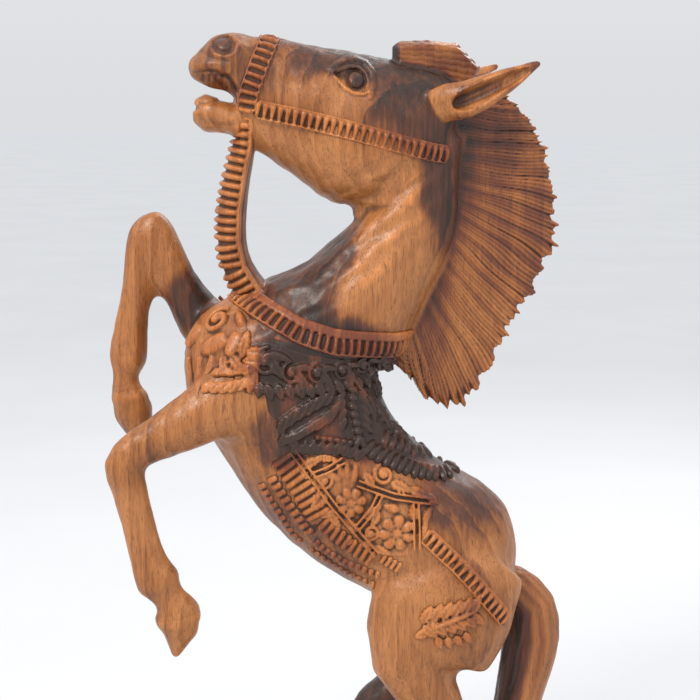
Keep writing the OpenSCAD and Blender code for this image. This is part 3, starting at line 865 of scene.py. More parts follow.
def grown(obj, tree, **inputs):
    """Corners in millimetres and triangles of what a tree makes from an object, which is then removed."""
    modifier = obj.modifiers.new("carve", "NODES")
    modifier.node_group = tree
    names = {item.name: item.identifier for item in tree.interface.items_tree if item.in_out == "INPUT"}
    for key, value in {"Material": work["wood"], **inputs}.items():
        modifier[names[key.replace("_", " ")]] = value
    graph = bpy.context.evaluated_depsgraph_get()
    graph.update()
    mesh = bpy.data.meshes.new_from_object(obj.evaluated_get(graph))
    points = np.empty(len(mesh.vertices) * 3, np.float32)
    mesh.vertices.foreach_get("co", points)
    mesh.calc_loop_triangles()
    tris = np.empty(len(mesh.loop_triangles) * 3, np.int32)
    mesh.loop_triangles.foreach_get("vertices", tris)
    obj.modifiers.remove(modifier)
    bpy.data.meshes.remove(mesh)
    bpy.data.objects.remove(obj)
    return points.reshape(-1, 3) / MM, tris.reshape(-1, 3).astype(np.uint32)


def skin_depth(xz, side):
    """How far out from the centre plane the skin lies at side-view points."""
    block, skin = work["block"], work["skin"]
    xz = np.asarray(xz, float)
    fx = np.clip((xz[:, 0] - block.low[0]) / block.step, 0, block.shape[0] - 1.001)
    fz = np.clip((xz[:, 1] - block.low[2]) / block.step, 0, block.shape[2] - 1.001)
    i, k = fx.astype(int), fz.astype(int)
    tx, tz = (fx - i)[:, None], (fz - k)[:, None]
    column = ((skin[i, :, k] * (1 - tx) + skin[i + 1, :, k] * tx) * (1 - tz)
              + (skin[i, :, k + 1] * (1 - tx) + skin[i + 1, :, k + 1] * tx) * tz)
    if side > 0:
        column = column[:, ::-1]
    inside = column < 0
    hit = inside.argmax(axis=1)
    found = inside.any(axis=1) & (hit > 0)
    rows = np.arange(len(xz))
    before, after = column[rows, hit - 1], column[rows, hit]
    share = np.where(found, before / np.where(found, before - after, 1), 0)
    y = (hit - 1 + share) * block.step
    width = (block.shape[1] - 1) * block.step
    y = block.low[1] + (width - y if side > 0 else y)
    return np.where(found, y, 0.0), found


def side_path(points, side, spacing=1.0):
    """A fine line along the skin through side-view points."""
    points = np.asarray(points, float)
    length = np.concatenate([[0], np.cumsum(np.hypot(*np.diff(points, axis=0).T))])
    at = np.linspace(0, length[-1], max(4, int(length[-1] / spacing)))
    xz = np.stack([np.interp(at, length, points[:, 0]), np.interp(at, length, points[:, 1])], axis=1)
    y, found = skin_depth(xz, side)
    return np.stack([xz[:, 0], y, xz[:, 1]], axis=1)[found]


def curve_through(points):
    """A curve object through points in millimetres, evened out a little."""
    points = np.asarray(points, float)
    for _ in range(3):
        points[1:-1] = (points[:-2] + 2 * points[1:-1] + points[2:]) / 4
    curve = bpy.data.curves.new("strap line", "CURVE")
    curve.dimensions = "3D"
    spline = curve.splines.new("POLY")
    spline.points.add(len(points) - 1)
    spline.points.foreach_set("co", np.column_stack([points * MM, np.ones(len(points))]).ravel())
    line = bpy.data.objects.new("strap line", curve)
    bpy.context.scene.collection.objects.link(line)
    return line


def ladder(path, rung="rung", size=(2.6, 7.0, 2.0), rail=3.9, lift=1.1, thick=0.6, pitch=None):
    """Rungs and rails along a path in millimetres."""
    pitch = pitch or bpy.context.scene.carving_sizes.rung_pitch
    return grown(curve_through(path), work["ladder"], Skin=work["guide"], Rung=work["motifs"][rung],
                 Pitch=pitch, Rung_Size=tuple(MM * v for v in size), Rail_Offset=rail * MM,
                 Rail_Lift=lift * MM, Rail_Radius=thick * MM)


def marks(side, listing):
    """Shapes at side-view marks: each is (shape, x, z, turn, length, width, height)."""
    found = []
    for shape in sorted({row[0] for row in listing}):
        rows = np.array([row[1:] for row in listing if row[0] == shape], float)
        y, ok = skin_depth(rows[:, :2], side)
        rows, y = rows[ok], y[ok]
        mesh = bpy.data.meshes.new("marks")
        mesh.from_pydata([(r[0] * MM, v * MM, r[1] * MM) for r, v in zip(rows, y)], [], [])
        turn = np.radians(rows[:, 2])
        aim = mesh.attributes.new("aim", "FLOAT_VECTOR", "POINT")
        aim.data.foreach_set("vector", np.column_stack([np.cos(turn), 0 * turn, np.sin(turn)]).ravel())
        size = mesh.attributes.new("size", "FLOAT_VECTOR", "POINT")
        size.data.foreach_set("vector", (rows[:, 3:6] * MM).ravel())
        thing = bpy.data.objects.new("marks", mesh)
        bpy.context.scene.collection.objects.link(thing)
        found.append(grown(thing, work["marks"], Skin=work["guide"], Shape=work["motifs"][shape]))
    return found


def row(shape, path, pitch, length, width, height, lean=90.0):
    """Marks of one shape along a side-view path, each turned by lean from the path."""
    path = np.asarray(path, float)
    run = np.concatenate([[0], np.cumsum(np.hypot(*np.diff(path, axis=0).T))])
    count = max(1, int(round(run[-1] / pitch)))
    out = []
    for at in (np.arange(count) + 0.5) * run[-1] / count:
        x, z = np.interp(at, run, path[:, 0]), np.interp(at, run, path[:, 1])
        k = min(np.searchsorted(run, at), len(run) - 1)
        way = math.degrees(math.atan2(*(path[k] - path[k - 1])[::-1]))
        out.append((shape, x, z, way + lean, length, width, height))
    return out


def soft_cut(a, b, radius):
    """Where two fields overlap, with the edge between them rounded."""
    return -melt(-a, -b, radius)


def panel_piece(node, ground, shapes, stain="tack wood", tone=tone_at):
    """A raised panel of tack on the skin, with its carved shapes standing on it."""
    step = bpy.context.scene.carving_sizes.cut_step / MM
    block = local_block(node, step, 4.0)
    skin = skin_on(block)
    own = block.solid(*node_mesh(node), reach=4.0)
    outline = own.min(axis=1, keepdims=True)
    reach = np.where(own.min(axis=(0, 2)) < 1.5, 0, 4.0).astype(np.float32)[None, :, None]
    panel = soft_cut(np.maximum(outline, reach - 1), skin - ground, PANEL_EDGE)
    field = np.minimum(np.full(block.shape, 4.0, np.float32), panel)
    for points, tris in shapes:
        if len(tris):
            stamped = block.solid(points, tris, reach=3.0)
            field = melt(field, stamped, 0.5)
    field = np.maximum(field, skin - PANEL_DEPTH - PANEL_SINK)
    field = np.maximum(field, -skin - 1.0)
    field = blurred(field, 0.55)
    whole = np.minimum(field, skin)
    return carved_piece(node, block, field, work[stain], tone, 2.6, whole)


# ---------------------------------------------------------------- operators
class CARVING_OT_rough_out(bpy.types.Operator):
    """Blend the body, neck, head and legs into one smooth block and make the woods"""

    bl_idname = "carving.rough_out"
    bl_label = "Rough out the block"

    def execute(self, context):
        sizes = context.scene.carving_sizes
        corners = [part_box(n) for n in TRUNK]
        low = np.min([np.array(c[0]) for c in corners], axis=0) / MM - BLOCK_EDGE
        high = np.max([np.array(c[1]) for c in corners], axis=0) / MM + BLOCK_EDGE
        block = Block(low, high, BLOCK_STEP)
        first = np.full(block.shape, BLOCK_EDGE, np.float32)
        second = first.copy()
        nearest = np.full(block.shape, -1, np.int8)
        own = {}
        for number, name in enumerate(TRUNK):
            lo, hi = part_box(name)
            a = np.maximum(0, np.floor((np.array(lo) / MM - BLOCK_EDGE - block.low) / block.step).astype(int))
            far = (np.array(hi) / MM + BLOCK_EDGE - block.low) / block.step
            b = np.minimum(block.shape, np.ceil(far).astype(int) + 1)
            part = Block(block.low + a * block.step, block.low + (b - 1) * block.step, block.step)
            part.low = block.low + a * block.step
            part.shape = tuple(b - a)
            dist = part.solid(*node_mesh(name), reach=BLOCK_EDGE)
            view = tuple(slice(a[i], b[i]) for i in range(3))
            f, sec = first[view], second[view]
            closer = dist < f
            second[view] = np.where(closer, f, np.minimum(sec, dist))
            first[view] = np.minimum(f, dist)
            nearest[view][closer] = number
            own[name] = (view, part, dist)
        radius = sizes.blend_radius / MM
        points, quads = block.surface(first, radius)
        closed = block.solid(points, quads=quads, reach=BLOCK_EDGE) + radius
        smooth = eased(closed, 2.6 / block.step)
        crisp = eased(closed, 1.2 / block.step)
        x, _, z = np.meshgrid(*block.axes(), indexing="ij", sparse=True)
        fine = step_up(-x, 92, 104) * step_up(z, 430, 440)
        fine = np.maximum(fine, step_up(-z, -46, -40) + 0 * x)
        fine = np.maximum(fine, step_up(-x, 130, 134) * step_up(-z, -215, -206))
        work["block"] = block
        work["skin"] = (smooth + (crisp - smooth) * fine).astype(np.float32)
        work["own"] = own
        work["first"], work["second"], work["nearest"] = first, second, nearest
        work["guide"] = helper_mesh("skin guide", *block.surface(work["skin"]))
        work["motifs"] = make_motifs()
        work["ladder"], work["marks"] = ladder_tree(), mark_tree()
        make_woods()
        return {"FINISHED"}


def skin_on(block):
    """The smooth skin of the whole figure, carried onto a finer block."""
    return block.lift(work["block"], work["skin"])


class CARVING_OT_body(bpy.types.Operator):
    """Carve the body, neck, head, legs and hooves"""

    bl_idname = "carving.body"
    bl_label = "Carve the body"

    def execute(self, context):
        base_step = context.scene.carving_sizes.skin_step / MM
        for number, name in enumerate(TRUNK):
            step = base_step * FACET_SHARE.get(name, LIMB_FACET_SHARE)
            block = local_block(name, step, 5.0)
            view, part, dist = work["own"][name]
            alone = work["nearest"][view] == number
            rest = np.where(alone, work["second"][view], work["first"][view])
            divide = block.lift(part, dist - rest)
            field = relieved(block, skin_on(block), skin_relief, 4.2 if name == "head" else 2.4)
            tucked = np.maximum(field + TUCK_DEPTH, divide - TUCK_REACH)
            if "hoof" in name:
                field = field + 0.7 * bump(np.abs(divide + 0.6), 1.1) - 0.5 * bump(divide + 4.0, 2.6)
            piece = np.minimum(np.maximum(field, divide), tucked)
            carved_piece(name, block, piece, work["wood"], whole=field)
        return {"FINISHED"}


# The fan of the mane: each line runs from the crest to the ragged edge, in the side view
MANE_FAN = np.array([
    (6, 484, 41, 486), (14, 475, 54, 474), (19, 458, 66, 455), (21, 440, 72, 427), (21, 424, 73, 400),
    (17, 408, 61, 375), (11, 392, 46, 352), (2, 376, 32, 324), (-7, 361, 13, 312), (-13, 352, -7, 329),
    (-16, 349, -16, 330),
], float)
# The middle lines of the rein and the tail, from their upper ends down
REIN_LINE = np.array([
    (-97, 480), (-98.5, 456), (-102, 440), (-105, 422), (-105.5, 405), (-102.5, 391), (-94, 377), (-80, 364),
], float)
TAIL_LINE = np.array([
    (38, 210), (52, 207), (63, 194), (64.5, 176), (61.5, 157), (57, 137), (52, 112), (52, 84), (57, 55),
    (63, 22),
], float)
STRANDS_PER_LINE = 11.0
CLUMPS_PER_LINE = 3.4


def fan_place(p, fan):
    """Where a point lies in a fan: which line it is on, and how far out along it."""
    x, z = p[:, 0], p[:, 2]
    sides = []
    for x0, z0, x1, z1 in fan:
        run = math.hypot(x1 - x0, z1 - z0)
        sides.append(((x1 - x0) * (z - z0) - (z1 - z0) * (x - x0)) / run)
    sides = np.array(sides)
    line = np.zeros(len(p))
    for i in range(len(fan) - 1):
        above, below = sides[i], sides[i + 1]
        between = above / np.where(above - below > -1e-3, -1e-3, above - below)
        line += np.where(above >= 0, 0, np.where(below < 0, 1, np.clip(between, 0, 1)))
    low = np.clip(line.astype(int), 0, len(fan) - 2)
    part = (line - low)[:, None]
    ends_at = fan[low] * (1 - part) + fan[low + 1] * part
    run = ends_at[:, 2:] - ends_at[:, :2]
    out = ((x - ends_at[:, 0]) * run[:, 0] + (z - ends_at[:, 1]) * run[:, 1]) / (run**2).sum(axis=1)
    return line, out


def path_place(p, path):
    """How far along a side-view path a point lies, and how far off it to the right."""
    x, z = p[:, 0], p[:, 2]
    best = np.full(len(p), 1e9)
    along, off = np.zeros(len(p)), np.zeros(len(p))
    start = 0.0
    for (x0, z0), (x1, z1) in zip(path, path[1:]):
        run = math.hypot(x1 - x0, z1 - z0)
        ux, uz = (x1 - x0) / run, (z1 - z0) / run
        t = np.clip((x - x0) * ux + (z - z0) * uz, 0, run)
        dx, dz = x - x0 - t * ux, z - z0 - t * uz
        far = dx * dx + dz * dz
        closer = far < best
        best = np.where(closer, far, best)
        along = np.where(closer, start + t, along)
        off = np.where(closer, -(dx * uz - dz * ux), off)
        start += run
    return along, off


def ridges(c):
    """Rounded ridges with sharp grooves between, one to each unit of c."""
    return np.abs(np.sin(math.pi * c)) ** 0.7 - 0.75


def attached_piece(node, material, relief, step, ease, radius, tone=tone_at, cut_gain=0.9):
    """A piece that grows out of the main block with a small hollow round its root."""
    block = local_block(node, step, 5.0)
    own = eased(block.solid(*node_mesh(node), reach=6.0), ease / step)
    own = relieved(block, own, relief, 3.0)
    skin = skin_on(block)
    field = np.maximum(melt(own, skin, radius), own - radius)
    field = np.maximum(field, -skin - 2.5)

    def shaded(p):
        rise = step_up(block.sample(skin, p.astype(np.float32)), 0.2, 3.0)
        return tone_at(p) + (tone(p) - tone_at(p)) * rise

    return carved_piece(node, block, field, work[material], shaded, cut_gain)


def mane_grain(line, out):
    """Where a point of the fan lies among the wavering strands, and among the clumps of strands."""
    waver = 0.07 * np.sin(3 * out + 1.7 * line) + 0.02 * np.sin(8 * out + 5 * line)
    return (line + waver) * STRANDS_PER_LINE, (line + waver) * CLUMPS_PER_LINE + 0.8 * np.sin(1.3 * line)


def carve_mane(p):
    """Wavering strands gathered in clumps, with a ragged edge."""
    line, out = fan_place(p, MANE_FAN)
    depth = bpy.context.scene.carving_sizes.lock_depth / MM
    strand, clump = mane_grain(line, out)
    share = (0.45 + 0.55 * step_up(out, 0.0, 0.6)) * (0.75 + 0.25 * np.sin(strand * 1.9))
    relief = depth * share * (0.75 * ridges(strand) + 0.55 * ridges(clump))
    ragged = 0.9 + 0.9 * np.sin(strand * 2.1 + 4 * np.sin(line * 3.3))
    return relief - ragged * step_up(out, 0.86, 1.0)


def tone_mane(p):
    """The mane is darker in its grooves as painted shade, darker along the crest, and brighter in its lower
    half.
    """
    line, out = fan_place(p, MANE_FAN)
    strand, clump = mane_grain(line, out)
    # Painted shade: the tone rises in the grooves between strands and between clumps
    base = 0.36 - 0.18 * ridges(strand) - 0.09 * ridges(clump)
    base += 0.07 * np.sin(line * 12.7 + 1.0) + 0.12 * noise(p * (1, 1, 0.6), 30, 31)
    dark = 0.30 * bump(line - 0.8, 1.6) * step_up(0.85 - out, 0, 0.5) + 0.24 * step_up(0.25 - out, 0, 0.3)
    bright = 0.14 * bump(line - 6.5, 2.0) * bump(out - 0.5, 0.6)
    return np.clip(base + dark - bright, 0, 1)


def carve_tail(p):
    along, off = path_place(p, TAIL_LINE)
    turn = np.arctan2(p[:, 1], off) / math.pi
    waver = 0.012 * along + 0.10 * np.sin(along / 17.0) + 0.08 * np.sin(along / 7.0 + 9 * turn)
    return 0.45 * ridges(turn * 17 + 4 * waver) + 0.55 * ridges(turn * 5 + 2 * waver)


def tone_tail(p):
    _, off = path_place(p, TAIL_LINE)
    turn = np.arctan2(p[:, 1], off) / math.pi
    streak = 0.08 * np.sin(turn * 40)
    # Painted shade: the front half of the tail, toward the buttocks, is darkened; the streaks and noise are
    # grain
    return np.clip(0.20 + 0.45 * step_up(-off, 1, 7) + streak + 0.14 * noise(p * (1, 1, 0.3), 22, 32), 0, 1)


def carve_forelock(p):
    slope = (p[:, 2] - 497) / (1 + 0.012 * (p[:, 0] + 18))
    return 0.55 * ridges(slope / 2.3 + 0.05 * p[:, 0] + 0.15 * noise(p, 9, 41)) * step_up(p[:, 0], -17, -14)


def tone_forelock(p):
    front = step_up(-p[:, 0], 14.5, 17)
    return np.clip(0.34 + 0.5 * front + 0.15 * noise(p, 20, 42), 0, 1)


EAR_AXIS = ((10.0, 478.0), (50.5, 496.0))


def ear_hollow(p):
    """How deep a point lies in the hollow of the ear, how far off its middle line, and how far along it."""
    (x0, z0), (x1, z1) = EAR_AXIS
    run = math.hypot(x1 - x0, z1 - z0)
    ux, uz = (x1 - x0) / run, (z1 - z0) / run
    t = ((p[:, 0] - x0) * ux + (p[:, 2] - z0) * uz) / run
    off = (p[:, 2] - z0) * ux - (p[:, 0] - x0) * uz
    inside = np.clip(t, 0.0, 1.0)
    width = 0.8 + 7.2 * (inside + 0.06) ** 0.40 * (1 - inside) ** 0.70
    deep = np.clip(1 - (off / width) ** 2, 0, 1) * step_up(t, -0.04, 0.08) * step_up(1 - t, 0, 0.1)
    return deep, off, t


def carve_ear(p):
    low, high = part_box("ear_left")
    middle = -0.5 * (low[1] + high[1]) / MM
    deep, off, _ = ear_hollow(p)
    outer = step_up(np.abs(p[:, 1]), middle - 2, middle + 1)
    return 0.15 * noise(p, 8, 51) - outer * (1.9 * deep**0.45 - 0.5 * bead(off + 0.5, 0.9) * deep)


def tone_ear(p):
    deep, _, t = ear_hollow(p)
    # Painted shade darkens the hollow a little; the tip is darker
    return np.clip(0.24 + 0.16 * noise(p, 16, 52) + 0.3 * step_up(t, 0.85, 1.0) + 0.10 * deep, 0, 1)


def carve_jaw(p):
    x, z = p[:, 0], p[:, 2]
    notch = np.hypot((x + 124) / 3.0, (z - 475.5) / 2.4)
    lip = line_gap(x, z, [(-122, 477.5), (-114, 479), (-106, 480.5), (-100, 482)])
    chin = line_gap(x, z, [(-121, 470), (-112, 466.5), (-104, 467)])
    cuts = 1.4 * step_up(1 - notch, 0, 0.7)
    return 0.2 * noise(p, 8, 61) - cuts - 0.9 * bump(lip, 1.0) - 0.6 * bump(chin, 1.6)


def carve_rein(p):
    along, off = path_place(p, REIN_LINE)
    pitch = bpy.context.scene.carving_sizes.rung_pitch / MM
    ladder_part = step_up(2.0 - off, 0, 1.2)
    rung = np.clip(1.45 * np.abs(np.cos(math.pi * along / pitch)) - 0.45, 0, 1) ** 0.7
    ridge = bump(off - 2.9, 0.9)
    band = step_up(off, 3.8, 4.6)
    low = ladder_part * (-1.5 + 2.2 * rung)
    return low + 1.0 * ridge - 0.5 * band


def tone_rein(p):
    _, off = path_place(p, REIN_LINE)
    # Painted shade: beyond the plain band the rein's right edge is darkened
    inner = step_up(off, 4, 8)
    return np.clip(0.24 + 0.30 * inner + 0.12 * noise(p, 18, 71), 0, 1)


class CARVING_OT_hair(bpy.types.Operator):
    """Carve the mane, the forelock and the tail with their strands"""

    bl_idname = "carving.hair"
    bl_label = "Carve the mane and tail"

    def execute(self, context):
        attached_piece("mane", "red wood", carve_mane, 0.66, 1.0, 2.5, tone_mane, 1.0)
        attached_piece("tail", "red wood", carve_tail, 0.8, 2.0, 3.0, tone_tail)
        attached_piece("forelock", "red wood", carve_forelock, 0.6, 0.6, 1.5, tone_forelock)
        return {"FINISHED"}


class CARVING_OT_ears(bpy.types.Operator):
    """Carve the ears and the lower jaw"""

    bl_idname = "carving.ears"
    bl_label = "Carve the ears and jaw"

    def execute(self, context):
        for name in ("ear_left", "ear_right"):
            attached_piece(name, "wood", carve_ear, 0.62, 1.0, 3.0, tone_ear)
        attached_piece("lower_jaw", "wood", carve_jaw, 0.6, 1.1, 2.0)
        return {"FINISHED"}


class CARVING_OT_reins(bpy.types.Operator):
    """Carve the two reins, each a ladder beside a plain band"""

    bl_idname = "carving.reins"
    bl_label = "Carve the reins"

    def execute(self, context):
        for name in ("rein_left", "rein_right"):
            attached_piece(name, "tack wood", carve_rein, 0.62, 0.9, 2.0, tone_rein, 1.2)
        return {"FINISHED"}


# Straps as side-view lines, front to back
NOSE_LINE = [(-98, 474.5), (-96.5, 484), (-90.5, 499), (-83, 514)]
CHEEK_LINE = [(-92, 475), (-70, 470.5), (-44, 464), (-18, 457), (-2, 453), (8, 451)]
COLLAR_LINE = [(-8, 348), (-21, 348), (-54, 352), (-72, 358), (-88, 367), (-103, 376)]
CRUPPER_LINE = [(-5, 248), (7, 236), (20, 222), (31, 209), (39, 199)]
# Height of the collar's rolled upper edge over its middle line, and the pitch of arched rungs
COLLAR_EDGE = 6.6
ARCH_PITCH = 4.0


def over(line):
    """A strap's path up one side, across the centre plane and down the other."""
    a, b = side_path(line, LEFT), side_path(line, RIGHT)
    return np.concatenate([a, b[::-1]])


class CARVING_OT_straps(bpy.types.Operator):
    """Carve the noseband, the cheek straps, the collar and the crupper straps as ladders"""

    bl_idname = "carving.straps"
    bl_label = "Carve the ladder straps"

    def execute(self, context):
        noseband = ladder(over(NOSE_LINE), size=(2.8, 8.6, 2.6), rail=4.7, lift=1.4)
        panel_piece("noseband", 0.2, [noseband], tone=tone_strap)
        upper_edge = [(x, z + COLLAR_EDGE) for x, z in COLLAR_LINE]
        collar = ladder(over(COLLAR_LINE), size=(2.9, 9.0, 2.9), rail=4.8, lift=1.3, thick=0.75)
        edging = ladder(over(upper_edge), size=NO_RUNGS, rail=0.9, lift=0.9, thick=1.5)
        panel_piece("collar", 0.2, [collar, edging], tone=tone_strap)
        for side, label in ((LEFT, "left"), (RIGHT, "right")):
            turn = slice(None) if side == LEFT else slice(None, None, -1)
            path = side_path(CHEEK_LINE, side)[turn]
            cheek = ladder(path, "arch", (4.0, 8.4, 2.5), 4.6, 1.3, 0.6, ARCH_PITCH * MM)
            panel_piece("cheek_strap_" + label, 0.0, [cheek], tone=tone_strap)
            path = side_path(CRUPPER_LINE, side)[turn]
            crupper = ladder(path, "arch", (4.0, 7.8, 2.7), 4.4, 1.5, 0.75, ARCH_PITCH * MM)
            panel_piece("crupper_strap_" + label, 0.0, [crupper], tone=tone_strap)
        return {"FINISHED"}


def fringe_marks():
    """Rows of tongue-shaped cuts that hang from the saddle cloth."""
    out = row("tongue", [(-83, 294), (-72, 277), (-62, 259)], 4.5, 17, 3.9, 2.3, 98)
    out += row("tongue", [(-88, 282), (-79, 267), (-69, 252), (-66, 248)], 4.4, 7.5, 3.8, 2.0, 95)
    out += row("tongue", [(-93, 277), (-84, 261), (-74, 245), (-70, 241)], 4.2, 6.5, 3.6, 1.8, 95)
    out += row("tongue", [(-96, 270), (-88, 256), (-78, 242)], 4.2, 5.5, 3.4, 1.6, 95)
    out += row("tongue", [(-61, 257), (-54, 250), (-44, 242), (-33, 234)], 4.0, 12, 3.4, 2.2, 100)
    out += row("tongue", [(-64, 244), (-56, 237), (-46, 231), (-28, 224)], 3.8, 6.0, 3.2, 1.9, 100)
    out += row("tongue", [(-66, 238), (-52, 228), (-40, 221), (-30, 217)], 3.8, 5.5, 3.2, 1.7, 100)
    out += row("tongue", [(-58, 228), (-46, 220), (-36, 215)], 3.8, 5.0, 3.0, 1.6, 100)
    out += row("tongue", [(-29, 236), (-18, 229)], 3.2, 8, 2.7, 2.0, 95)
    return out


def cloth_marks():
    """Flowers, swirls and leaves on the saddle cloth."""
    return [
        ("flower", -46, 268, 10, 17, 17, 2.9), ("flower", -21, 250, 30, 20, 20, 3.0),
        ("swirl", -60, 281, 150, 11, 11, 2.8), ("swirl", -28, 282, 100, 12, 12, 2.8),
        ("swirl", -35, 251, 200, 10, 10, 2.8),
        ("bead", -60, 281, 0, 4.5, 4.5, 3.2), ("bead", -28, 282, 0, 5, 5, 3.2),
        ("bead", -35, 251, 0, 3.6, 3.6, 3.0),
        ("leaf", -63, 269, -120, 15, 9, 2.7), ("petal", -52, 286, 115, 10, 4, 2.6),
        ("petal", -48, 286, 100, 10, 4, 2.6),
        ("petal", -44, 284, 80, 10, 4, 2.6), ("petal", -55, 283, 135, 9, 4, 2.5),
        ("leaf", -36, 279, -60, 11, 6, 2.6),
        ("leaf", -67, 291, 25, 13, 6, 2.5), ("leaf", -59, 293, -10, 12, 5, 2.5),
        ("leaf", -18, 274, -25, 14, 7, 2.6),
        ("leaf", -8, 270, -20, 13, 7, 2.6), ("leaf", -1, 266, -35, 9, 6, 2.4),
        ("leaf", -54, 258, -60, 12, 6, 2.5),
        ("leaf", -34, 263, 40, 13, 6, 2.6), ("leaf", -33, 258, -120, 10, 5, 2.5),
        ("leaf", -58, 262, 30, 10, 5, 2.5),
        ("leaf", -45, 255, -35, 12, 6, 2.5), ("leaf", -28, 240, -30, 11, 5, 2.4),
        ("leaf", -37, 244, 150, 10, 5, 2.5),
        ("leaf", -12, 261, 95, 11, 5, 2.5), ("leaf", -4, 259, 60, 11, 4.5, 2.5),
        ("leaf", -6, 251, -100, 12, 4, 2.4),
        ("leaf", -47, 245, -140, 8, 4.5, 2.4), ("leaf", -24, 264, 160, 9, 5, 2.5),
        ("petal", -71, 285, -60, 9, 4, 2.3),
    ]


def saddle_marks():
    """Feathers, beads and curled leaves that cover the saddle."""
    out = []
    for i in range(5):
        out.append(("feather", -75 + 4.8 * i, 305.5 + 2.9 * i, 24 + 7 * i, 17, 6.5, 3.2))
    out += row("leaf", [(-84, 311), (-76, 317), (-64, 323), (-56, 326)], 5.6, 12, 7, 3.2, 30)
    out += row("leaf", [(-84, 303), (-76, 305)], 5.0, 9, 6, 2.8, 60)
    out += row("bead", [(-45, 330), (-45, 318), (-43, 309), (-41, 299)], 4.4, 5.0, 6.8, 4.0, 0)
    out += row("petal", [(-51, 327), (-50, 308)], 4.8, 8, 4.8, 3.4, 150)
    out += row("petal", [(-39, 328), (-36, 304)], 4.8, 8, 4.8, 3.4, 30)
    rear_edge = [(-31, 327), (-24, 321), (-16, 311), (-7, 300), (5, 290), (16, 283)]
    out += row("leaf", rear_edge, 6.4, 15, 8, 3.6, -20)
    out += [("leaf", -27, 311, -62, 24, 10, 4.0), ("leaf", -16, 299, -50, 24, 9, 3.8)]
    out.append(("leaf", -34, 316, -80, 18, 7, 3.4))
    out += row("feather", [(-38, 298), (-26, 290), (-10, 282), (6, 277), (18, 276)], 4.4, 12, 5.0, 3.6, 75)
    out += row("feather", [(-28, 301), (-12, 292), (4, 285), (17, 282)], 4.8, 11, 5.2, 3.0, 80)
    out += row("leaf", [(-78, 299), (-62, 299), (-48, 297), (-39, 293)], 4.6, 10, 5.5, 3.2, 70)
    out += row("bead", [(-66, 305), (-52, 302), (-38, 298)], 3.4, 4.0, 4.0, 3.6, 0)
    return out


def collar_leaf_marks():
    """Curled leaves under the collar, with a hanging row of small ones below."""
    out = []
    for x, z, turn, length, width in (
        (-90, 345, 20, 19, 14), (-77, 339, 30, 15, 12), (-63.5, 338, 30, 14, 12), (-50, 338.5, 25, 13, 11),
        (-38, 340, 20, 12, 10), (-26, 340, 15, 12, 10), (-15, 341, 15, 11, 9),
    ):
        out.append(("swirl", x, z, turn + 60, length * 0.85, width, 3.4))
        out.append(("bead", x - 0.5, z, 0, 4.2, 4.2, 3.6))
        out.append(("leaf", x + 4.5, z - 3.5, turn - 75, length * 0.8, width * 0.5, 3.4))
        out.append(("feather", x + 6.5, z + 2.5, turn - 40, length * 0.7, width * 0.4, 3.0))
    hem = [(-101, 334), (-92, 329), (-72, 329), (-52, 329), (-30, 331), (-12, 333)]
    out += row("leaf", hem, 5.2, 10, 6.0, 3.4, -70)
    out += row("leaf", [(-98, 343), (-96, 352)], 6.0, 12, 7, 3.0, 100)
    return out


def shoulder_marks():
    """A swirl with an oval eye, broad lobes and a grooved cap on the shoulder."""
    out = [
        ("swirl", -114, 364, 60, 17, 15, 3.8), ("bead", -114, 364, 35, 6, 4.4, 4.0),
        ("petal", -117, 352.5, 200, 17, 10, 3.4), ("petal", -127, 355, 230, 14, 9, 3.0),
        ("petal", -107, 353, 250, 14, 9, 3.4),
        ("leaf", -101, 354, 80, 16, 7, 3.4), ("leaf", -105, 343, -50, 13, 7, 3.4),
        ("leaf", -112, 342, -80, 13, 6, 3.2),
        ("petal", -119, 341, 92, 14, 5, 3.0), ("petal", -124, 339, 96, 15, 5, 2.8),
        ("petal", -129, 338, 100, 14, 4.4, 2.6),
        ("feather", -103, 366, 110, 12, 5, 3.2), ("leaf", -122, 366, 60, 12, 6, 3.0),
        ("leaf", -99, 341, 20, 11, 6, 3.2),
    ]
    out += row("leaf", [(-123, 332), (-111, 332), (-100, 334), (-94, 338)], 4.6, 9, 5.4, 3.2, 50)
    out += row("leaf", [(-118, 338), (-106, 339), (-97, 343)], 5.0, 8, 4.6, 3.0, -30)
    return out


def hip_marks():
    """A fan of leaves with a stem on the haunch."""
    out = [("feather", 9, 202, 20, 30, 3.6, 3.6)]
    for i in range(6):
        out.append(("leaf", -5 + 5.4 * i, 205.5 + 1.0 * i, 62, 12, 6.0, 3.4))
        out.append(("leaf", -3 + 5.2 * i, 195.5 + 1.2 * i, -40, 11, 5.6, 3.4))
    out += row("leaf", [(-1, 189), (10, 189), (20, 192)], 4.8, 8, 5.0, 3.2, -75)
    out += [("leaf", -8, 194, 200, 9, 6, 3.0), ("swirl", -2, 199, 0, 7, 7, 3.6)]
    return out


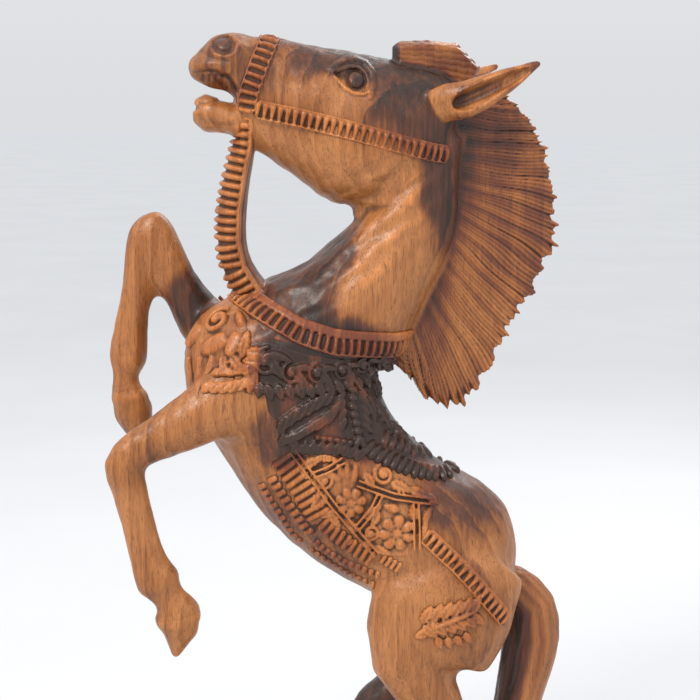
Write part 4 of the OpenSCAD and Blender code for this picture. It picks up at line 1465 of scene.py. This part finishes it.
class CARVING_OT_ornament(bpy.types.Operator):
    """Carve the saddle, its cloth and fringe, and the leaves on shoulder, chest and haunch"""

    bl_idname = "carving.ornament"
    bl_label = "Carve the ornament"

    def execute(self, context):
        border = [(-77, 298), (-55, 267), (-31, 238)]
        back_edge = [(-11, 265), (-10, 240)]
        divide = [(-43, 279), (-23, 270), (-2, 265)]
        curve = [(-30.5, 272), (-34.5, 264), (-42.5, 254)]
        upper = [(-66.5, 284), (-57.5, 287.5), (-50, 292)]
        for side, label in ((LEFT, "left"), (RIGHT, "right")):
            rails = [ladder(side_path(line, side), size=NO_RUNGS, rail=1.5, lift=2.2, thick=0.8)
                     for line in (border, back_edge, divide, curve, upper)]
            panel_piece("saddle_cloth_" + label, 0.3, marks(side, cloth_marks()) + rails)
            panel_piece("girth_fringe_" + label, -0.3, marks(side, fringe_marks()))
            leaves = marks(side, collar_leaf_marks())
            panel_piece("collar_leaves_" + label, 0.3, leaves, "dark wood", tone_saddle)
            panel_piece("shoulder_carving_" + label, 0.3, marks(side, shoulder_marks()))
            panel_piece("hip_carving_" + label, -0.2, marks(side, hip_marks()))
        both_sides = marks(LEFT, saddle_marks()) + marks(RIGHT, saddle_marks())
        panel_piece("saddle", 0.6, both_sides, "dark wood", tone_saddle)
        return {"FINISHED"}


def eased_copy(name, node, material, bevel):
    """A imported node's shape with its hard edges rounded over."""
    shape = bmesh.new()
    shape.from_mesh(NODES[node].data)
    bmesh.ops.remove_doubles(shape, verts=shape.verts, dist=0.01 * MM)
    bmesh.ops.dissolve_limit(shape, angle_limit=math.radians(2), verts=shape.verts, edges=shape.edges)
    mesh = bpy.data.meshes.new(name)
    shape.to_mesh(mesh)
    shape.free()
    piece = bpy.data.objects.new(name, mesh)
    bpy.context.scene.collection.objects.link(piece)
    soften = piece.modifiers.new("rounded edges", "BEVEL")
    soften.width, soften.segments, soften.limit_method = bevel, 3, "ANGLE"
    soften.angle_limit = math.radians(25)
    soften.use_clamp_overlap = True
    final = bpy.data.meshes.new_from_object(piece.evaluated_get(bpy.context.evaluated_depsgraph_get()))
    piece.modifiers.clear()
    piece.data = final
    for face in final.polygons:
        face.use_smooth = True
    final.set_sharp_from_angle(angle=math.radians(40))
    return finish_piece(piece, material, node)


def board_wood(name, light, deep, gloss, rings):
    """A sawn board with its grain along its length and its rings on the ends."""
    s = Shader(name)
    place = s.node("ShaderNodeTexCoord").outputs["Object"]
    ring = s.node("ShaderNodeTexWave", wave_type="RINGS", rings_direction="X", wave_profile="SAW")
    s.put(ring.inputs["Vector"], s.stretch(place, (0.35, 1, 1), (0.04, 0.03, 0), (0.0, 0.012, 0.055)))
    for key, value in (("Scale", rings), ("Distortion", 5.0), ("Detail", 3.0), ("Detail Scale", 1.2)):
        ring.inputs[key].default_value = value
    long_grain = s.noise(s.stretch(place, (16, 700, 700)), 1.0, 4, 0.6)
    pores = s.noise(s.stretch(place, (90, 2200, 2200)), 1.0, 1, 0.4)
    blotch = s.noise(place, 14.0, 3, 0.5)
    depth = s.math("ADD", s.math("MULTIPLY", ring.outputs["Fac"], 0.45), s.math("MULTIPLY", long_grain, 0.45))
    depth = s.math("ADD", depth, s.math("MULTIPLY", s.math("SUBTRACT", blotch, 0.5), 0.5))
    colour = s.ramp(depth, (0.15, light), (0.75, light.lerp(deep, 0.6)), (1.0, deep))
    colour = s.mix(s.grey(pores, 0.60, 0.70, 0.0, 0.6), colour, (*(deep * 0.4), 1))
    ridge = s.node("ShaderNodeBump")
    ridge.inputs["Strength"].default_value = 0.35
    ridge.inputs["Distance"].default_value = 0.0006
    s.put(ridge.inputs["Height"], s.math("SUBTRACT", long_grain, s.grey(pores, 0.58, 0.70, 0.0, 0.6)))
    shader = s.node("ShaderNodeBsdfPrincipled")
    s.put(shader.inputs["Base Color"], colour)
    s.put(shader.inputs["Roughness"], s.math("ADD", s.math("MULTIPLY", long_grain, 0.25), gloss))
    s.put(shader.inputs["Normal"], ridge.outputs["Normal"])
    shader.inputs["Specular IOR Level"].default_value = 0.35
    s.put(s.node("ShaderNodeOutputMaterial").inputs["Surface"], shader.outputs["BSDF"])
    return s.material


class CARVING_OT_base(bpy.types.Operator):
    """Plane the slab the horse stands on and turn the dowels that hold it"""

    bl_idname = "carving.base"
    bl_label = "Make the base"

    def execute(self, context):
        eased_copy("base_slab", "base", work["board"], 0.8 * MM)
        eased_copy("hoof_dowels", "hoof_pegs", work["dowel wood"], 0.5 * MM)
        return {"FINISHED"}


class CARVING_OT_stage(bpy.types.Operator):
    """Set the floor, the studio light and the camera"""

    bl_idname = "carving.stage"
    bl_label = "Set the stage"

    def execute(self, context):
        scene = context.scene
        half = 30.0
        corners = np.array([(-half, -half, 0), (half, -half, 0), (half, half, 0), (-half, half, 0)]) / MM
        floor = new_object("floor", corners, np.array([[0, 1, 2, 3]]), shade=False)
        s = Shader("pale floor")
        place = s.node("ShaderNodeTexCoord").outputs["Object"]
        shader = s.node("ShaderNodeBsdfPrincipled")
        pale = s.ramp(s.noise(place, 3.0), (0.3, (0.66, 0.67, 0.68)), (0.7, (0.69, 0.70, 0.71)))
        s.put(shader.inputs["Base Color"], pale)
        shader.inputs["Roughness"].default_value = 0.9
        shader.inputs["Specular IOR Level"].default_value = 0.0
        s.put(s.node("ShaderNodeOutputMaterial").inputs["Surface"], shader.outputs["BSDF"])
        floor.data.materials.append(s.material)
        world = bpy.data.worlds.new("studio")
        scene.world = world
        world.use_nodes = True
        sky = world.node_tree
        up = sky.nodes.new("ShaderNodeSeparateXYZ")
        sky.links.new(sky.nodes.new("ShaderNodeTexCoord").outputs["Generated"], up.inputs[0])
        fade = sky.nodes.new("ShaderNodeValToRGB")
        sky.links.new(up.outputs["Z"], fade.inputs["Fac"])
        for element, height, share in zip(fade.color_ramp.elements, (0.0, 1.0), (1.0, 1.70)):
            element.position = height
            element.color = (0.78 * share, 0.79 * share, 0.81 * share, 1)
        sky.links.new(fade.outputs["Color"], sky.nodes["Background"].inputs["Color"])
        sky.nodes["Background"].inputs["Strength"].default_value = 0.92
        scene.view_settings.view_transform = "Standard"
        target = Vector((-0.041, 0.0, 0.344))
        for name, place, power, width, colour in (
            ("key", (-0.75, -0.85, 1.35), 14, 0.35, (1.0, 0.95, 0.88)),
            ("fill", (1.1, -1.3, 0.75), 2, 1.2, (0.92, 0.96, 1.0)),
            ("rim", (0.6, 0.9, 1.2), 6, 0.6, (1.0, 0.98, 0.95)),
        ):
            light = bpy.data.lights.new(name, "AREA")
            light.energy, light.size, light.color = power, width, colour
            lamp = bpy.data.objects.new(name, light)
            lamp.location = place
            lamp.rotation_euler = (target - Vector(place)).to_track_quat("-Z", "Y").to_euler()
            scene.collection.objects.link(lamp)
        azimuth, elevation, distance = math.radians(-8), math.radians(9), 0.85
        level = math.cos(elevation)
        back = Vector((math.sin(azimuth) * level, -math.cos(azimuth) * level, math.sin(elevation)))
        camera = bpy.data.objects.new("camera", bpy.data.cameras.new("camera"))
        camera.data.lens = 79.48
        camera.data.sensor_width = 36
        camera.location = target + distance * back
        camera.rotation_euler = (-back).to_track_quat("-Z", "Y").to_euler()
        scene.collection.objects.link(camera)
        scene.camera = camera
        return {"FINISHED"}


class CARVING_PT_panel(bpy.types.Panel):
    """The carving's sizes, colours and steps"""

    bl_idname = "CARVING_PT_panel"
    bl_label = "Carved Horse"
    bl_space_type = "VIEW_3D"
    bl_region_type = "UI"
    bl_category = "Carving"

    def draw(self, context):
        column = self.layout.column()
        for group in (context.scene.carving_sizes, context.scene.carving_colours):
            for key in group.bl_rna.properties.keys():
                if key not in ("rna_type", "name"):
                    column.prop(group, key)
        for step in STEPS:
            column.operator(step.bl_idname)


STEPS = (
    CARVING_OT_rough_out, CARVING_OT_body, CARVING_OT_hair, CARVING_OT_ears, CARVING_OT_reins,
    CARVING_OT_straps, CARVING_OT_ornament, CARVING_OT_base, CARVING_OT_stage,
)


def register():
    for made in (CarvingSizes, CarvingColours, *STEPS, CARVING_PT_panel):
        bpy.utils.register_class(made)
    bpy.types.Scene.carving_sizes = bpy.props.PointerProperty(type=CarvingSizes)
    bpy.types.Scene.carving_colours = bpy.props.PointerProperty(type=CarvingColours)


def unregister():
    del bpy.types.Scene.carving_sizes
    del bpy.types.Scene.carving_colours
    for made in (CARVING_PT_panel, *reversed(STEPS), CarvingColours, CarvingSizes):
        bpy.utils.unregister_class(made)


def main():
    register()
    for step in STEPS:
        getattr(bpy.ops.carving, step.bl_idname.split(".")[1])()
    for made in work.pop("helpers", []):
        bpy.data.objects.remove(made)


if __name__ == "__main__":
    main()
